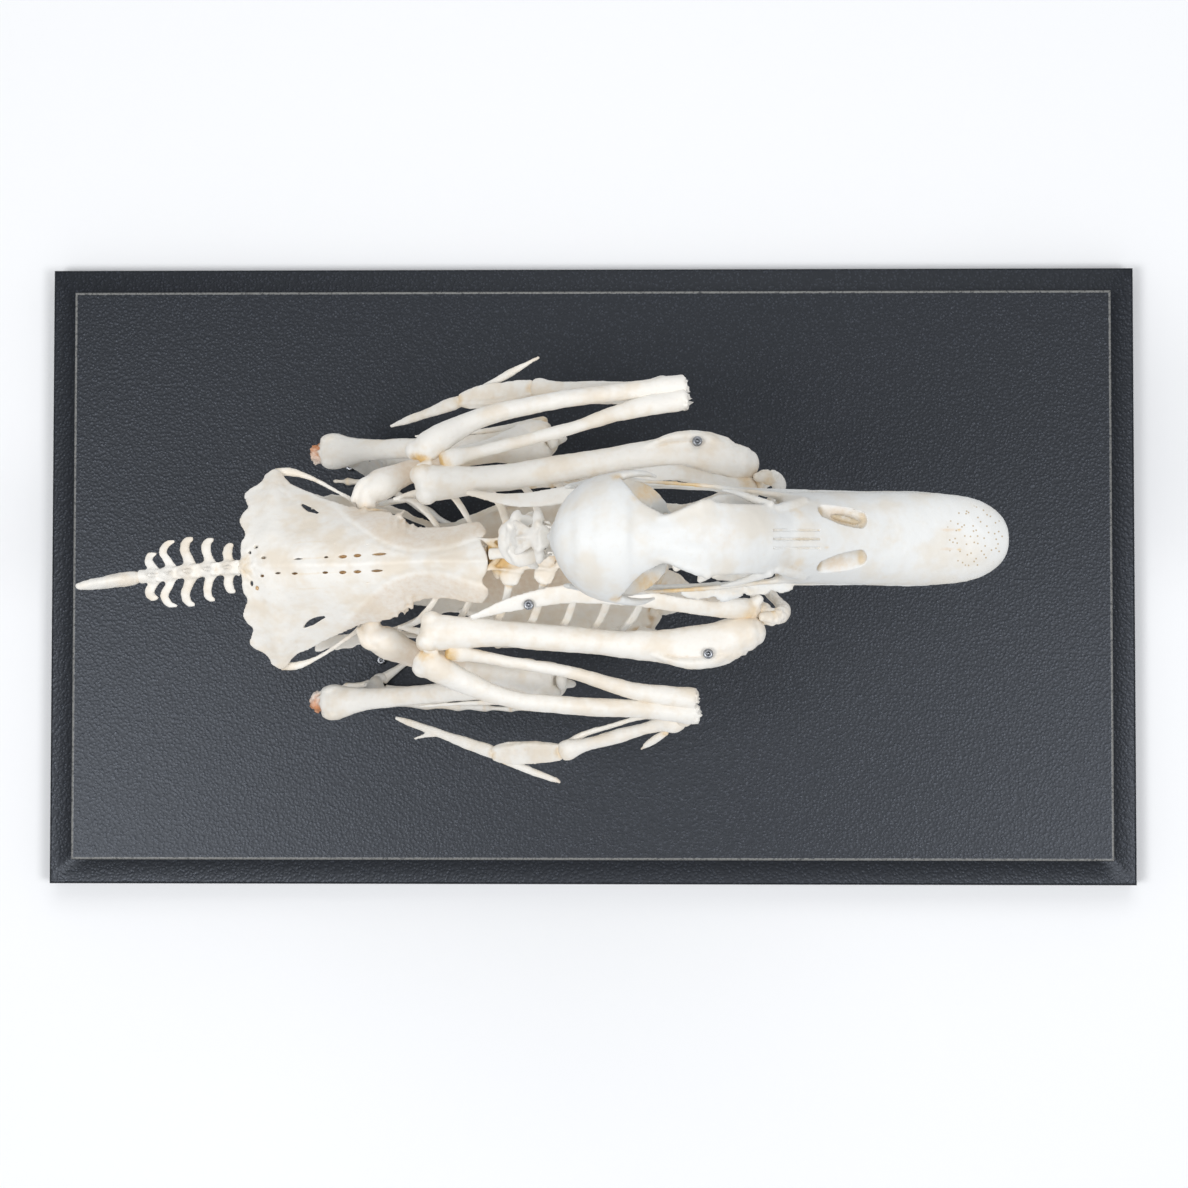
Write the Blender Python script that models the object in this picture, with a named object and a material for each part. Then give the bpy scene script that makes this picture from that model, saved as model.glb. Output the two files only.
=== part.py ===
"""Skeleton of a domestic duck, mounted standing on a stepped black board, at life size.

The duck faces +X, its left side is +Y, and the board's underside is at Z = 0.
Rows of numbers that describe a bone are in millimetres; MM turns them into metres.
Every bone is a node of its own, and small like pieces (vertebrae, ribs) are fused where they grow.
"""

import math

import bmesh
import bpy
from mathutils import Euler, Matrix, Vector

MM = 0.001
GAP = 0.32  # clearance between neighbouring bones

# Board
BOARD_LENGTH = 380.0
BOARD_WIDTH = 216.0
BOARD_HEIGHT = 18.0
LEDGE_WIDTH = 8.6
LEDGE_HEIGHT = 12.0
BOARD_EDGE_RADIUS = 0.8
FLOOR = BOARD_HEIGHT + GAP

# The trunk is turned a little on the board, towards the duck's left
BODY_YAW = math.radians(2.2)

# Joints of the left leg and wing in the trunk's frame; the right side mirrors them
HIP = Vector((-66.0, 16.8, 137.5))
KNEE = Vector((-14.0, 38.0, 118.0))
TIBIA_TOP = Vector((-10.0, 38.4, 109.2))
HOCK = Vector((-85.6, 41.6, 71.5))
ANKLE = Vector((-83.6, 41.6, 65.6))
BALL_OF_FOOT = Vector((-74.5, 37.5, 24.6))
# How far each lower leg stands ahead of the mirrored place
LEG_AHEAD = {1: 2.0, -1: -0.8}
SHOULDER = Vector((52.4, 25.6, 145.0))
ELBOW = Vector((-46.5, 22.6, 160.0))

# Trunk
SPINE_HEIGHT = 161.0
SPINE_FRONT = 27.0
PELVIS_FRONT = -27.4
PELVIS_REAR = -104.0
RIB_COUNT = 7
RIB_PITCH = 10.4
RIB_FIRST = 20.8
RIB_HALF_WIDTHS = (24.0, 25.4, 26.0, 26.0, 25.0, 23.0, 20.4)
STERNUM_FRONT = 24.0
STERNUM_REAR = -88.0
KEEL_APEX = 36.0

# Head
HEAD_PLACE = Vector((-4.7, -1.3, 260.0))
HEAD_PITCH = math.radians(8.0)
HEAD_ROLL = math.radians(4.5)
SKULL_LENGTH = 125.0

LEFT, RIGHT = 1, -1
SIDE_NAMES = {LEFT: "left", RIGHT: "right"}

BONE_COLOUR = (0.83, 0.78, 0.70, 1.0)
BOARD_COLOUR = (0.035, 0.040, 0.048, 1.0)
STEEL_COLOUR = (0.55, 0.55, 0.56, 1.0)


def clear_scene():
    for old in list(bpy.data.objects):
        bpy.data.objects.remove(old, do_unlink=True)


def material(name, colour, roughness, metallic=0.0):
    made = bpy.data.materials.new(name)
    made.use_nodes = True
    shader = made.node_tree.nodes["Principled BSDF"]
    shader.inputs["Base Color"].default_value = colour
    shader.inputs["Roughness"].default_value = roughness
    shader.inputs["Metallic"].default_value = metallic
    return made


def sided(rows, side):
    """The same rows on the asked side of the trunk: the second number of each is mirrored."""
    return [(row[0], row[1] * side, *row[2:]) for row in rows]


def resampled(rows, count):
    """count rows on a smooth curve through the given rows, evenly spaced along it."""
    rows = [tuple(float(value) for value in row) for row in rows]
    spans = [max((Vector(b[:3]) - Vector(a[:3])).length, 1e-6) for a, b in zip(rows, rows[1:])]
    knots = [0.0]
    for span in spans:
        knots.append(knots[-1] + span)
    result = []
    for step in range(count):
        place = knots[-1] * step / (count - 1)
        index = min(sum(1 for knot in knots[1:-1] if knot <= place), len(spans) - 1)
        share = (place - knots[index]) / spans[index]
        before = rows[max(index - 1, 0)]
        start, end = rows[index], rows[index + 1]
        after = rows[min(index + 2, len(rows) - 1)]
        low = spans[index] / (spans[index] + (spans[index - 1] if index else spans[index]))
        high = spans[index] / (spans[index] + (spans[index + 1] if index + 1 < len(spans) else spans[index]))
        row = []
        for p0, p1, p2, p3 in zip(before, start, end, after):
            slope_in = (p2 - p0) * low if index else p2 - p1
            slope_out = (p3 - p1) * high if index + 1 < len(spans) else p2 - p1
            row.append(
                p1 * (1 + 2 * share) * (1 - share) ** 2
                + slope_in * share * (1 - share) ** 2
                + p2 * (3 - 2 * share) * share ** 2
                - slope_out * share ** 2 * (1 - share)
            )
        result.append(tuple(row))
    return result


def tube(rows, rings, sides=8, up=(0, 0, 1), phase=0.5, blunt=0.35, upright=False):
    """A closed tube through rows of (x, y, z, half width, half depth), with rounded-off ends.

    The depth lies along the up direction and the width across it. An upright tube keeps
    all its rings square to X, so that its end faces can meet another bone's."""
    stations = resampled(rows, rings)
    centres = [Vector(row[:3]) for row in stations]
    sizes = [(max(row[3], 0.15), max(row[4], 0.15)) for row in stations]
    mesh = bmesh.new()
    loops = []
    last = len(centres) - 1
    for index, centre in enumerate(centres):
        along = (centres[min(index + 1, last)] - centres[max(index - 1, 0)]).normalized()
        if upright:
            along = Vector((math.copysign(1.0, along.x), 0, 0))
        across = Vector(up).cross(along).normalized()
        above = along.cross(across).normalized()
        wide, deep = sizes[index]
        ends = [(centre, 1.0)]
        if blunt and index in (0, last):
            outwards = -along if index == 0 else along
            cap = (centre + outwards * min(wide, deep) * blunt, 0.55)
            ends = [cap, ends[0]] if index == 0 else [ends[0], cap]
        for middle, scale in ends:
            loop = []
            for corner in range(sides):
                angle = 2 * math.pi * (corner + phase) / sides
                offset = across * wide * math.cos(angle) + above * deep * math.sin(angle)
                loop.append(mesh.verts.new((middle + offset * scale) * MM))
            loops.append(loop)
    for ring, following in zip(loops, loops[1:]):
        for corner in range(sides):
            beside = (corner + 1) % sides
            mesh.faces.new((ring[corner], ring[beside], following[beside], following[corner]))
    mesh.faces.new(loops[0])
    mesh.faces.new(loops[-1])
    return closed_mesh(mesh)


def ahead(place, side):
    """A place on the lower leg, moved to where that side's leg stands."""
    return Vector((place[0] + LEG_AHEAD[side], *place[1:]))


def bone(start, end, profile, rings, side=LEFT, sides=8, up=(0, 0, 1), bow=(0, 1, 0)):
    """A limb bone: profile rows are (share of length, half width, half depth, bow outwards)."""
    rows = []
    for share, wide, deep, out in profile:
        place = start.lerp(end, share) + Vector(bow) * out
        rows.append((*place, wide, deep))
    return tube(sided(rows, side), rings, sides, (up[0], up[1] * side, up[2]))


def plate(face, other_face, rows, columns):
    """A closed plate between two surfaces, each a function of two shares from 0 to 1."""
    mesh = bmesh.new()
    grids = []
    for surface in (face, other_face):
        grid = []
        for row in range(rows):
            line = []
            for column in range(columns):
                place = Vector(surface(row / (rows - 1), column / (columns - 1)))
                line.append(mesh.verts.new(place * MM))
            grid.append(line)
        grids.append(grid)
    for row in range(rows - 1):
        for column in range(columns - 1):
            for grid in grids:
                a, b = grid[row][column], grid[row][column + 1]
                c, d = grid[row + 1][column + 1], grid[row + 1][column]
                mesh.faces.new((a, b, c))
                mesh.faces.new((a, c, d))
    near, far = grids
    rim = [(0, column) for column in range(columns)]
    rim += [(row, columns - 1) for row in range(1, rows)]
    rim += [(rows - 1, column) for column in range(columns - 2, -1, -1)]
    rim += [(row, 0) for row in range(rows - 2, 0, -1)]
    for (r1, c1), (r2, c2) in zip(rim, rim[1:] + rim[:1]):
        mesh.faces.new((near[r1][c1], near[r2][c2], far[r2][c2], far[r1][c1]))
    return closed_mesh(mesh)


def ball(centre, radii, rings=6, sides=8):
    """An ellipsoid of stacked rings along X."""
    rows = []
    for index in range(rings):
        angle = math.pi * (0.09 + 0.82 * index / (rings - 1))
        rows.append((centre[0] - radii[0] * math.cos(angle), centre[1], centre[2],
                     radii[1] * math.sin(angle), radii[2] * math.sin(angle)))
    return tube(rows, rings, sides)


def closed_mesh(mesh):
    """The finished mesh data of a bmesh, with its faces turned outwards."""
    bmesh.ops.recalc_face_normals(mesh, faces=mesh.faces)
    if mesh.calc_volume(signed=True) < 0:
        bmesh.ops.reverse_faces(mesh, faces=mesh.faces)
    data = bpy.data.meshes.new("piece")
    mesh.to_mesh(data)
    mesh.free()
    return data


def eased(value, table):
    """The smooth value of a two-column table at a place; the first column falls or rises steadily."""
    rows = sorted(table)
    if value <= rows[0][0]:
        return rows[0][1]
    for (x0, y0), (x1, y1) in zip(rows, rows[1:]):
        if value <= x1:
            share = (value - x0) / (x1 - x0)
            share = share * share * (3 - 2 * share) * 0.4 + share * 0.6
            return y0 + (y1 - y0) * share
    return rows[-1][1]


def largest_surface(data):
    """Leaves only the largest closed surface of the mesh."""
    mesh = bmesh.new()
    mesh.from_mesh(data)
    mesh.faces.ensure_lookup_table()
    unseen = set(mesh.faces)
    islands = []
    while unseen:
        found = {unseen.pop()}
        front = list(found)
        while front:
            face = front.pop()
            for edge in face.edges:
                for near in edge.link_faces:
                    if near in unseen:
                        unseen.discard(near)
                        found.add(near)
                        front.append(near)
        islands.append(found)
    islands.sort(key=lambda faces: sum(face.calc_area() for face in faces))
    for faces in islands[:-1]:
        bmesh.ops.delete(mesh, geom=list(faces), context="FACES")
    mesh.to_mesh(data)
    mesh.free()


def combined(base, others, operation):
    """The base mesh joined with, or cut by, the other meshes in one Boolean."""
    if not others:
        return base
    helper = bpy.data.objects.new("helper", base)
    bpy.context.scene.collection.objects.link(helper)
    gathered = bpy.data.collections.new("gathered")
    bpy.context.scene.collection.children.link(gathered)
    for data in others:
        gathered.objects.link(bpy.data.objects.new("operand", data))
    modifier = helper.modifiers.new("boolean", "BOOLEAN")
    modifier.operation = operation
    modifier.solver = "MANIFOLD"
    modifier.operand_type = "COLLECTION"
    modifier.collection = gathered
    graph = bpy.context.evaluated_depsgraph_get()
    result = bpy.data.meshes.new_from_object(helper.evaluated_get(graph))
    for operand in list(gathered.objects):
        bpy.data.objects.remove(operand, do_unlink=True)
    bpy.data.collections.remove(gathered)
    bpy.data.objects.remove(helper, do_unlink=True)
    largest_surface(result)
    return result


def fused(pieces):
    return combined(pieces[0], pieces[1:], "UNION")


def lightened(data, share):
    """The mesh with about the given share of its triangles, merged where that changes the form least."""
    helper = bpy.data.objects.new("helper", data)
    bpy.context.scene.collection.objects.link(helper)
    modifier = helper.modifiers.new("decimate", "DECIMATE")
    modifier.ratio = share
    graph = bpy.context.evaluated_depsgraph_get()
    result = bpy.data.meshes.new_from_object(helper.evaluated_get(graph))
    bpy.data.objects.remove(helper, do_unlink=True)
    return result


def swollen(data, by=GAP):
    """A copy of a mesh whose surface stands proud by the given clearance."""
    copy = data.copy()
    normals = [vertex.normal.copy() for vertex in copy.vertices]
    for vertex, normal in zip(copy.vertices, normals):
        vertex.co += normal * by * MM
    return copy


def cut_clear(data, neighbours, by=GAP):
    """The mesh cut back so that it stays clear of each neighbour."""
    return combined(data, [swollen(other, by) for other in neighbours], "DIFFERENCE")


def node(name, data, finish, parent):
    data.name = name
    data.materials.clear()
    data.materials.append(finish)
    made = bpy.data.objects.new(name, data)
    bpy.context.scene.collection.objects.link(made)
    made.parent = parent
    data.shade_smooth()
    data.set_sharp_from_angle(angle=math.radians(50))
    return made


def empty(name, place, turn):
    """A frame that bones hang from, and its placement."""
    made = bpy.data.objects.new(name, None)
    bpy.context.scene.collection.objects.link(made)
    made.location = place * MM
    made.rotation_euler = turn
    return made, Matrix.LocRotScale(place * MM, turn, None)


def board_mesh():
    """The board: a wide lower plate whose ledge runs round a raised top."""
    mesh = bmesh.new()
    bmesh.ops.create_cube(mesh, size=1.0)
    size = Vector((BOARD_LENGTH, BOARD_WIDTH, LEDGE_HEIGHT)) * MM
    bmesh.ops.scale(mesh, vec=size, verts=mesh.verts)
    bmesh.ops.translate(mesh, vec=(0, 0, size.z / 2), verts=mesh.verts)
    top = max(mesh.faces, key=lambda face: face.calc_center_median().z)
    bmesh.ops.inset_region(mesh, faces=[top], thickness=LEDGE_WIDTH * MM)
    raised = bmesh.ops.extrude_face_region(mesh, geom=[top])
    bmesh.ops.delete(mesh, geom=[top], context="FACES")
    rise = (BOARD_HEIGHT - LEDGE_HEIGHT) * MM
    lifted = [item for item in raised["geom"] if isinstance(item, bmesh.types.BMVert)]
    bmesh.ops.translate(mesh, vec=(0, 0, rise), verts=lifted)
    rounded = [edge for edge in mesh.edges if edge.calc_face_angle(0) > 1 and edge.is_convex]
    bmesh.ops.bevel(mesh, geom=rounded, offset=BOARD_EDGE_RADIUS * MM, segments=2, profile=0.5,
                    affect="EDGES")
    return closed_mesh(mesh)


# Half width, height of the middle and height of the side edge along the pelvis, front to rear
PELVIS_WIDTHS = ((-27.4, 9.4), (-31, 12.0), (-41, 11.3), (-48, 12.0), (-54, 14.2), (-60, 16.0),
                 (-66, 16.9), (-72, 18.0), (-80, 21.4), (-88, 25.0), (-96, 28.6), (-104, 30.6))
PELVIS_MIDDLE = ((-27.4, 166), (-41, 164.5), (-54, 162.4), (-72, 160), (-85, 157.3), (-97, 153), (-104, 150))
PELVIS_EDGE = ((-27.4, 159), (-41, 155), (-54, 149), (-66, 144), (-72, 141.5), (-85, 134.5), (-97, 129),
               (-104, 127.6))
# How far each part of the rear margin lies in front of the plain end, middle to side
PELVIS_REAR_SHIFT = ((0.0, 0.4), (0.3, 1.3), (0.5, -1.2), (0.72, 0.6), (0.85, 3.6), (1.0, 8.6))
PELVIS_THICKNESS = 1.5


def pelvis_surface(along, across, offset):
    """A point of the pelvic roof: a trough each side in front of the hip, a flaring roof behind."""
    nominal = PELVIS_FRONT + (PELVIS_REAR - PELVIS_FRONT) * along
    share = 2 * across - 1
    outwards = abs(share)
    rear = max(0.0, (along - 0.55) / 0.45)
    x = nominal + eased(outwards, PELVIS_REAR_SHIFT) * rear ** 2
    y = share * eased(nominal, PELVIS_WIDTHS)
    middle = eased(nominal, PELVIS_MIDDLE)
    edge = eased(nominal, PELVIS_EDGE)
    front = max(0.0, 1 - along / 0.5)
    fall = outwards ** (1.7 - 0.8 * front)
    hollow = 2.4 * front * math.sin(math.pi * min(outwards * 1.05, 1.0))
    ripple = 0.7 * math.sin(9.0 * share) * (1 if along > 0.99 and outwards > 0.15 else 0)
    return (x + ripple, y, middle + (edge - middle) * fall - hollow + offset)


def pelvis_mesh():
    """Synsacrum and hip bones, one fused bone with its hip sockets, side openings and pubic struts."""
    half = PELVIS_THICKNESS / 2
    pieces = [plate(lambda u, v: pelvis_surface(u, v, half), lambda u, v: pelvis_surface(u, v, -half), 15, 11)]
    pieces.append(tube([(PELVIS_FRONT, 0, 160, 4.2, 4.2), (-50, 0, 157, 4.6, 4.2), (-75, 0, 154.6, 4.4, 3.8),
                        (PELVIS_REAR, 0, 148.4, 2.8, 2.8)], 6, 8, blunt=0, upright=True))
    pieces.append(tube([(PELVIS_FRONT, 0, 165.6, 1.0, 3.0), (-45, 0, 164.6, 1.0, 2.2),
                        (-66, 0, 161.4, 1.6, 1.4)], 4, 6, blunt=0, upright=True))
    for side in (LEFT, RIGHT):
        socket = [(HIP.x, 12.4, HIP.z, 6.4, 6.4), (HIP.x, HIP.y, HIP.z, 6.9, 6.9)]
        pieces.append(tube(sided(socket, side), 2, 12, blunt=0))
        knob = (HIP.x - 4.2, (HIP.y - 1.2) * side, HIP.z + 6.0)
        pieces.append(ball(knob, (3.6, 2.2, 2.6), 5, 7))
        wall = [(HIP.x + 1.0, 6.0, 155.0, 4.2, 1.6), (HIP.x + 0.4, 10.0, 149.0, 4.0, 1.4), (HIP.x, 14.6, 142.6, 4.4, 1.3)]
        pieces.append(tube(sided(wall, side), 3, 6, up=(1, 0, 0), blunt=0))
        strut = [(-68, 16.5, 132.5, 1.3, 1.3), (-72, 21.4, 130.8, 1.0, 1.1), (-79, 26.2, 129.6, 0.9, 1.0),
                 (-88, 30.2, 128.6, 1.0, 1.0), (-95.0, 30.6, 128.4, 1.6, 1.0)]
        pieces.append(tube(sided(strut, side), 7, 6))
        spur = [(-56.5, 11.5, 150, 2.0, 1.4), (-54.6, 14.6, 148.8, 1.2, 0.9), (-53.6, 16.8, 148.2, 0.5, 0.5)]
        pieces.append(tube(sided(spur, side), 3, 6))
    whole = fused(pieces)
    cutters = []
    for side in (LEFT, RIGHT):
        bore = [(HIP.x, 10.4, HIP.z, 4.5, 4.5), (HIP.x, 20.0, HIP.z, 4.7, 4.7)]
        cutters.append(tube(sided(bore, side), 2, 12, blunt=0))
        slit = [(-85.6, 19.2, 130, 1.1, 14), (-79.4, 16.1, 130, 1.1, 14)]
        cutters.append(tube(sided([(row[0], row[1], 148, row[3], row[4]) for row in slit], side), 3, 8))
    return combined(whole, cutters, "DIFFERENCE")


TAIL_END = -136.4
# Free tail vertebrae: place, reach of the cross processes, how far their middle and their tip lie back
TAIL_ROWS = ((-108.0, -0.1, 148.6, 7.2, -0.4, -1.4), (-114.0, -0.3, 147.8, 9.3, -0.6, -1.4),
             (-120.4, -0.6, 146.6, 10.2, -0.9, -2.4), (-126.4, -0.9, 145.0, 10.0, -2.6, -0.6),
             (-131.8, -1.3, 143.2, 6.9, -1.9, -1.0))


def tail_mesh():
    """Free tail vertebrae, each with a cross process swept backwards."""
    core = [(PELVIS_REAR - GAP, 0, 148.4, 2.6, 2.4)]
    pieces = []
    for x, y, z, reach, middle, tip in TAIL_ROWS:
        core.append((x, y, z, 2.6, 2.5))
        for side in (LEFT, RIGHT):
            process = [(x + 0.4, y, z, 2.9, 1.1), (x + middle, y + side * reach * 0.6, z - 0.6, 2.0, 0.8),
                       (x + tip, y + side * reach, z - 1.6, 1.0, 0.5)]
            pieces.append(tube(process, 3, 5, blunt=0))
        pieces.append(tube([(x + 0.6, y, z + 1.0, 1.5, 0.8), (x - 0.8, y, z + 4.4, 0.9, 0.5)], 2, 4, up=(1, 0, 0), blunt=0))
    core.append((TAIL_END, -1.5, 142.4, 2.2, 2.2))
    pieces.insert(0, tube(core, 8, 7, blunt=0, upright=True))
    return fused(pieces)


def pygostyle_mesh():
    """The ploughshare bone that ends the tail."""
    rows = [(TAIL_END - GAP, -1.5, 142.4, 2.0, 2.4), (-139, -1.7, 142.5, 2.4, 3.6), (-141, -1.9, 142.6, 2.4, 4.6), (-146, -2.5, 143.0, 1.9, 4.4),
            (-151.6, -3.2, 143.6, 1.5, 2.6), (-155.4, -3.8, 144.4, 0.9, 1.2)]
    return tube(rows, 7, 7, blunt=0, upright=True)


def thoracic_mesh():
    """Fused back vertebrae: a centrum rod, a spine crest and a broad cross process for each rib."""
    rear = PELVIS_FRONT + GAP
    pieces = [tube([(SPINE_FRONT, 0, SPINE_HEIGHT, 3.6, 3.2), (0, 0, SPINE_HEIGHT + 0.6, 3.0, 3.0),
                    (rear, 0, SPINE_HEIGHT - 0.6, 3.4, 3.2)], 7, 8, blunt=0, upright=True)]
    pieces.append(tube([(SPINE_FRONT, 0, 165.6, 0.9, 3.0), (0, 0, 166.6, 0.8, 3.0),
                        (rear, 0, 165.6, 0.9, 2.6)], 4, 6, blunt=0, upright=True))
    for index in range(RIB_COUNT - 2):
        x = RIB_FIRST - RIB_PITCH * index
        for side in (LEFT, RIGHT):
            wing = [(x, 1.0, 163.6, 4.0, 1.2), (x - 0.2, 6.0, 163.8, 3.6, 0.9), (x - 0.4, 8.9, 163.4, 2.6, 0.9)]
            pieces.append(tube(sided(wing, side), 3, 5, blunt=0))
    return fused(pieces)


NECK_PATH = ((27.6, 0, 161), (45, 0, 163.5), (58.5, 0, 173), (57.5, 0, 190), (45, 0, 206), (26, -0.2, 218.5),
             (5, -0.5, 228.5), (-10.5, -0.8, 239.5), (-14.6, -1, 253), (-6.2, -1.7, 267.4))
NECK_COUNT = 13
NECK_NODES = (("neck_base", 0, 3), ("neck_lower", 3, 7), ("neck_middle", 7, 10), ("neck_upper", 10, 13))
NECK_WIDTHS = ((0, 1.2), (3, 1.08), (7, 0.95), (10, 0.86), (11.5, 0.78), (12, 0.74))


def neck_frame(place):
    """Position, headward direction and dorsal direction at a place along the neck, in vertebrae."""
    path = resampled([(*row, 0, 0) for row in NECK_PATH], 4 * NECK_COUNT + 1)
    index = min(max(int(round(place * 4)), 0), len(path) - 1)
    here = Vector(path[index][:3])
    ahead = Vector(path[min(index + 1, len(path) - 1)][:3])
    behind = Vector(path[max(index - 1, 0)][:3])
    along = (ahead - behind).normalized()
    return here, along, Vector((-along.z, 0, along.x)).normalized()


def vertebra_pieces(number):
    """A neck vertebra: waisted body, wings at the head end, joint arms at the tail end, low crest."""
    size = eased(number, NECK_WIDTHS)
    middle, along, dorsal = neck_frame(number + 0.5)
    start = neck_frame(number)[0]
    end = neck_frame(number + 1)[0]
    length = (end - start).length
    body = []
    for share, wide, deep in ((-0.51, 4.4, 3.0), (-0.22, 3.2, 2.6), (0.12, 3.1, 2.6), (0.51, 4.3, 3.1)):
        place = middle + along * length * share
        nearest = start if share < -0.4 else end if share > 0.4 else place
        place = nearest + along * length * (abs(share) - 0.5) * (1 if share > 0 else -1) if abs(share) > 0.4 else place
        body.append((*place, wide * size, deep * size))
    pieces = [tube(body, 4, 6, up=dorsal, blunt=0)]
    for side in (LEFT, RIGHT):
        across = Vector((0, side, 0))
        front = middle + along * length * 0.24
        wing = [(*(front - dorsal * 0.4), 2.6 * size, 1.8 * size),
                (*(front + across * 5.2 * size), 2.4 * size, 1.7 * size),
                (*(front + across * 8.4 * size - along * 0.8), 1.5 * size, 1.1 * size)]
        pieces.append(tube(wing, 3, 5, up=dorsal, blunt=0))
        rear = middle - along * length * 0.28 + dorsal * 2.2 * size
        arm = [(*(middle + dorsal * 1.6 * size), 1.7 * size, 1.3 * size),
               (*(rear + across * 4.4 * size), 1.7 * size, 1.3 * size)]
        pieces.append(tube(arm, 2, 5, up=dorsal, blunt=0))
    crest = [(*(middle + along * 1.6 + dorsal * 2.0), 0.8, 1.2), (*(middle - along * 2.2 + dorsal * 4.2 * size), 0.6, 0.8)]
    pieces.append(tube(crest, 2, 4, up=dorsal, blunt=0))
    return pieces


def neck_mesh(first, last):
    pieces = []
    for number in range(first, last):
        pieces += vertebra_pieces(number)
    return fused(pieces)


def rib_rows(index, side):
    """The run of one rib from the spine to the bend, and of its breast half from there to the breastbone."""
    x = RIB_FIRST - RIB_PITCH * index
    wide = RIB_HALF_WIDTHS[index]
    hidden = x < PELVIS_FRONT
    if hidden:
        top = [(x, 3.2, 154.4, 1.0, 0.9), (x - 1.4, 9.0, 150.4, 1.1, 0.7)]
    else:
        top = [(x - 0.4, 8.0, 163.2, 1.2, 0.8), (x - 2.0, 13.4, 159.8, 1.3, 0.7)]
    bend = Vector((x - 13 - 1.5 * index, wide, 118 - 0.7 * index))
    rows = top + [(x - 5.5 - 0.3 * index, wide * 0.83, 147, 1.4, 0.65),
                  (x - 9.5 - 0.9 * index, wide * 0.97, 133, 1.4, 0.65),
                  (*bend, 1.2, 0.9)]
    foot = Vector((20.5 - 6.0 * index, 24.9, 105.2))
    breast = [(*bend, 1.2, 0.9),
              (*(bend.lerp(foot, 0.5) + Vector((-3.0 + 0.2 * index, 0.8, -3.4))), 1.0, 0.8),
              (*foot, 1.3, 0.9)]
    return sided(rows, side), sided(breast, side)


def rib_cage_mesh(side):
    """One side's ribs, held together by the hooked processes that lie across the next rib."""
    pieces = []
    for index in range(RIB_COUNT):
        rows, breast = rib_rows(index, side)
        pieces.append(tube(rows, 7, 5, up=(0, side, 0.4), blunt=0))
        pieces.append(tube(breast, 4, 5, up=(0, side, 0.2), blunt=0))
        if index + 1 < RIB_COUNT:
            here = Vector(rows[3][:3])
            following = Vector(rib_rows(index + 1, side)[0][3][:3])
            root = here + Vector((0.4, 0, 1.0))
            tip = following + Vector((-1.0, 0, 5.4 - 0.2 * index))
            hook = [(*root, 0.7, 1.7), (*root.lerp(tip, 0.5), 0.7, 1.4), (*tip, 0.6, 0.8)]
            pieces.append(tube(hook, 3, 4, up=(0, side, 0), blunt=0))
    return fused(pieces)


STERNUM_WIDTHS = ((24, 19), (19, 24.5), (10, 24.2), (-10, 23.0), (-20, 22.4), (-32, 18.4), (-42, 16.8), (-51, 17.2),
                  (-60, 20.5), (-70, 23.5), (-88, 25.5))
STERNUM_MIDDLE = ((24, 92), (0, 89.5), (-40, 91), (-88, 97))
STERNUM_RISE = ((24, 11), (0, 12.4), (-30, 11), (-60, 6.5), (-88, 3))
KEEL_DEPTH = ((24, 22), (10, 27), (-15, 24), (-45, 15), (-82, 1.2))


def sternum_surface(along, across, offset):
    """A point of the breastbone's dish."""
    x = STERNUM_FRONT + (STERNUM_REAR - STERNUM_FRONT) * along
    share = 2 * across - 1
    height = eased(x, STERNUM_MIDDLE) + eased(x, STERNUM_RISE) * abs(share) ** 2.0
    pointed = 3.0 * (1 - abs(share) ** 2) * max(0.0, 1 - along * 8)
    return (x + pointed, share * eased(x, STERNUM_WIDTHS), height + offset)


def keel_surface(along, down, half):
    """A point on one face of the keel: half is its half thickness, signed."""
    x = STERNUM_FRONT + (-82 - STERNUM_FRONT) * along
    depth = eased(x, KEEL_DEPTH)
    forward = (KEEL_APEX - STERNUM_FRONT) * down ** 1.6 * max(0.0, 1 - along * 2.2) ** 1.5
    return (x + forward, half * (1 + 0.5 * down ** 4), eased(x, STERNUM_MIDDLE) - depth * down)


def sternum_mesh():
    """Breastbone: a shallow dish with a deep keel and two long notches at the rear."""
    pieces = [plate(lambda u, v: sternum_surface(u, v, 0.8), lambda u, v: sternum_surface(u, v, -0.8), 13, 11)]
    pieces.append(plate(lambda u, v: keel_surface(u, v, 0.8), lambda u, v: keel_surface(u, v, -0.8), 11, 5))
    for side in (LEFT, RIGHT):
        horn = [(17, 23.0, 102.5, 2.2, 1.2), (21.5, 24.2, 107.0, 1.6, 0.9), (25, 24.6, 110.4, 0.9, 0.6)]
        pieces.append(tube(sided(horn, side), 4, 6))
    whole = fused(pieces)
    notches = []
    for side in (LEFT, RIGHT):
        notch = [(-52, 13.0, 97, 1.2, 12), (-62, 14.2, 97, 4.0, 12), (-78, 15.6, 97, 4.6, 12), (-95, 16.6, 97, 4.2, 12)]
        notches.append(tube(sided(notch, side), 6, 8))
    return combined(whole, notches, "DIFFERENCE")


def furcula_mesh():
    """The wishbone: both collar bones in one U."""
    left = [(54.4, 21.4, 148.6, 1.5, 1.3), (58.6, 21.2, 146.2, 2.2, 1.7), (61.8, 19.8, 141.2, 2.6, 2.0),
            (60.6, 17.0, 134.6, 2.0, 1.7), (57.6, 12.6, 125.0, 1.8, 1.6), (54.2, 7.0, 114.4, 1.8, 1.7)]
    right = [(x, -y, z, wide, deep) for x, y, z, wide, deep in reversed(left)]
    return tube(left + [(52.0, 0, 108.4, 1.9, 1.9)] + right, 23, 7, up=(1, 0, 0))


CORACOID_PROFILE = ((0.0, 3.0, 3.0, 0), (0.07, 3.8, 3.8, 0), (0.16, 3.0, 3.2, 0), (0.45, 2.6, 2.7, 0),
                    (0.72, 3.8, 2.2, 0), (0.9, 7.2, 1.7, 0), (1.0, 7.8, 1.4, 0))
CORACOID_TOP = Vector((55.6, 20.2, 143.6))
CORACOID_FOOT = Vector((24.0, 10.2, 97.8))

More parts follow.
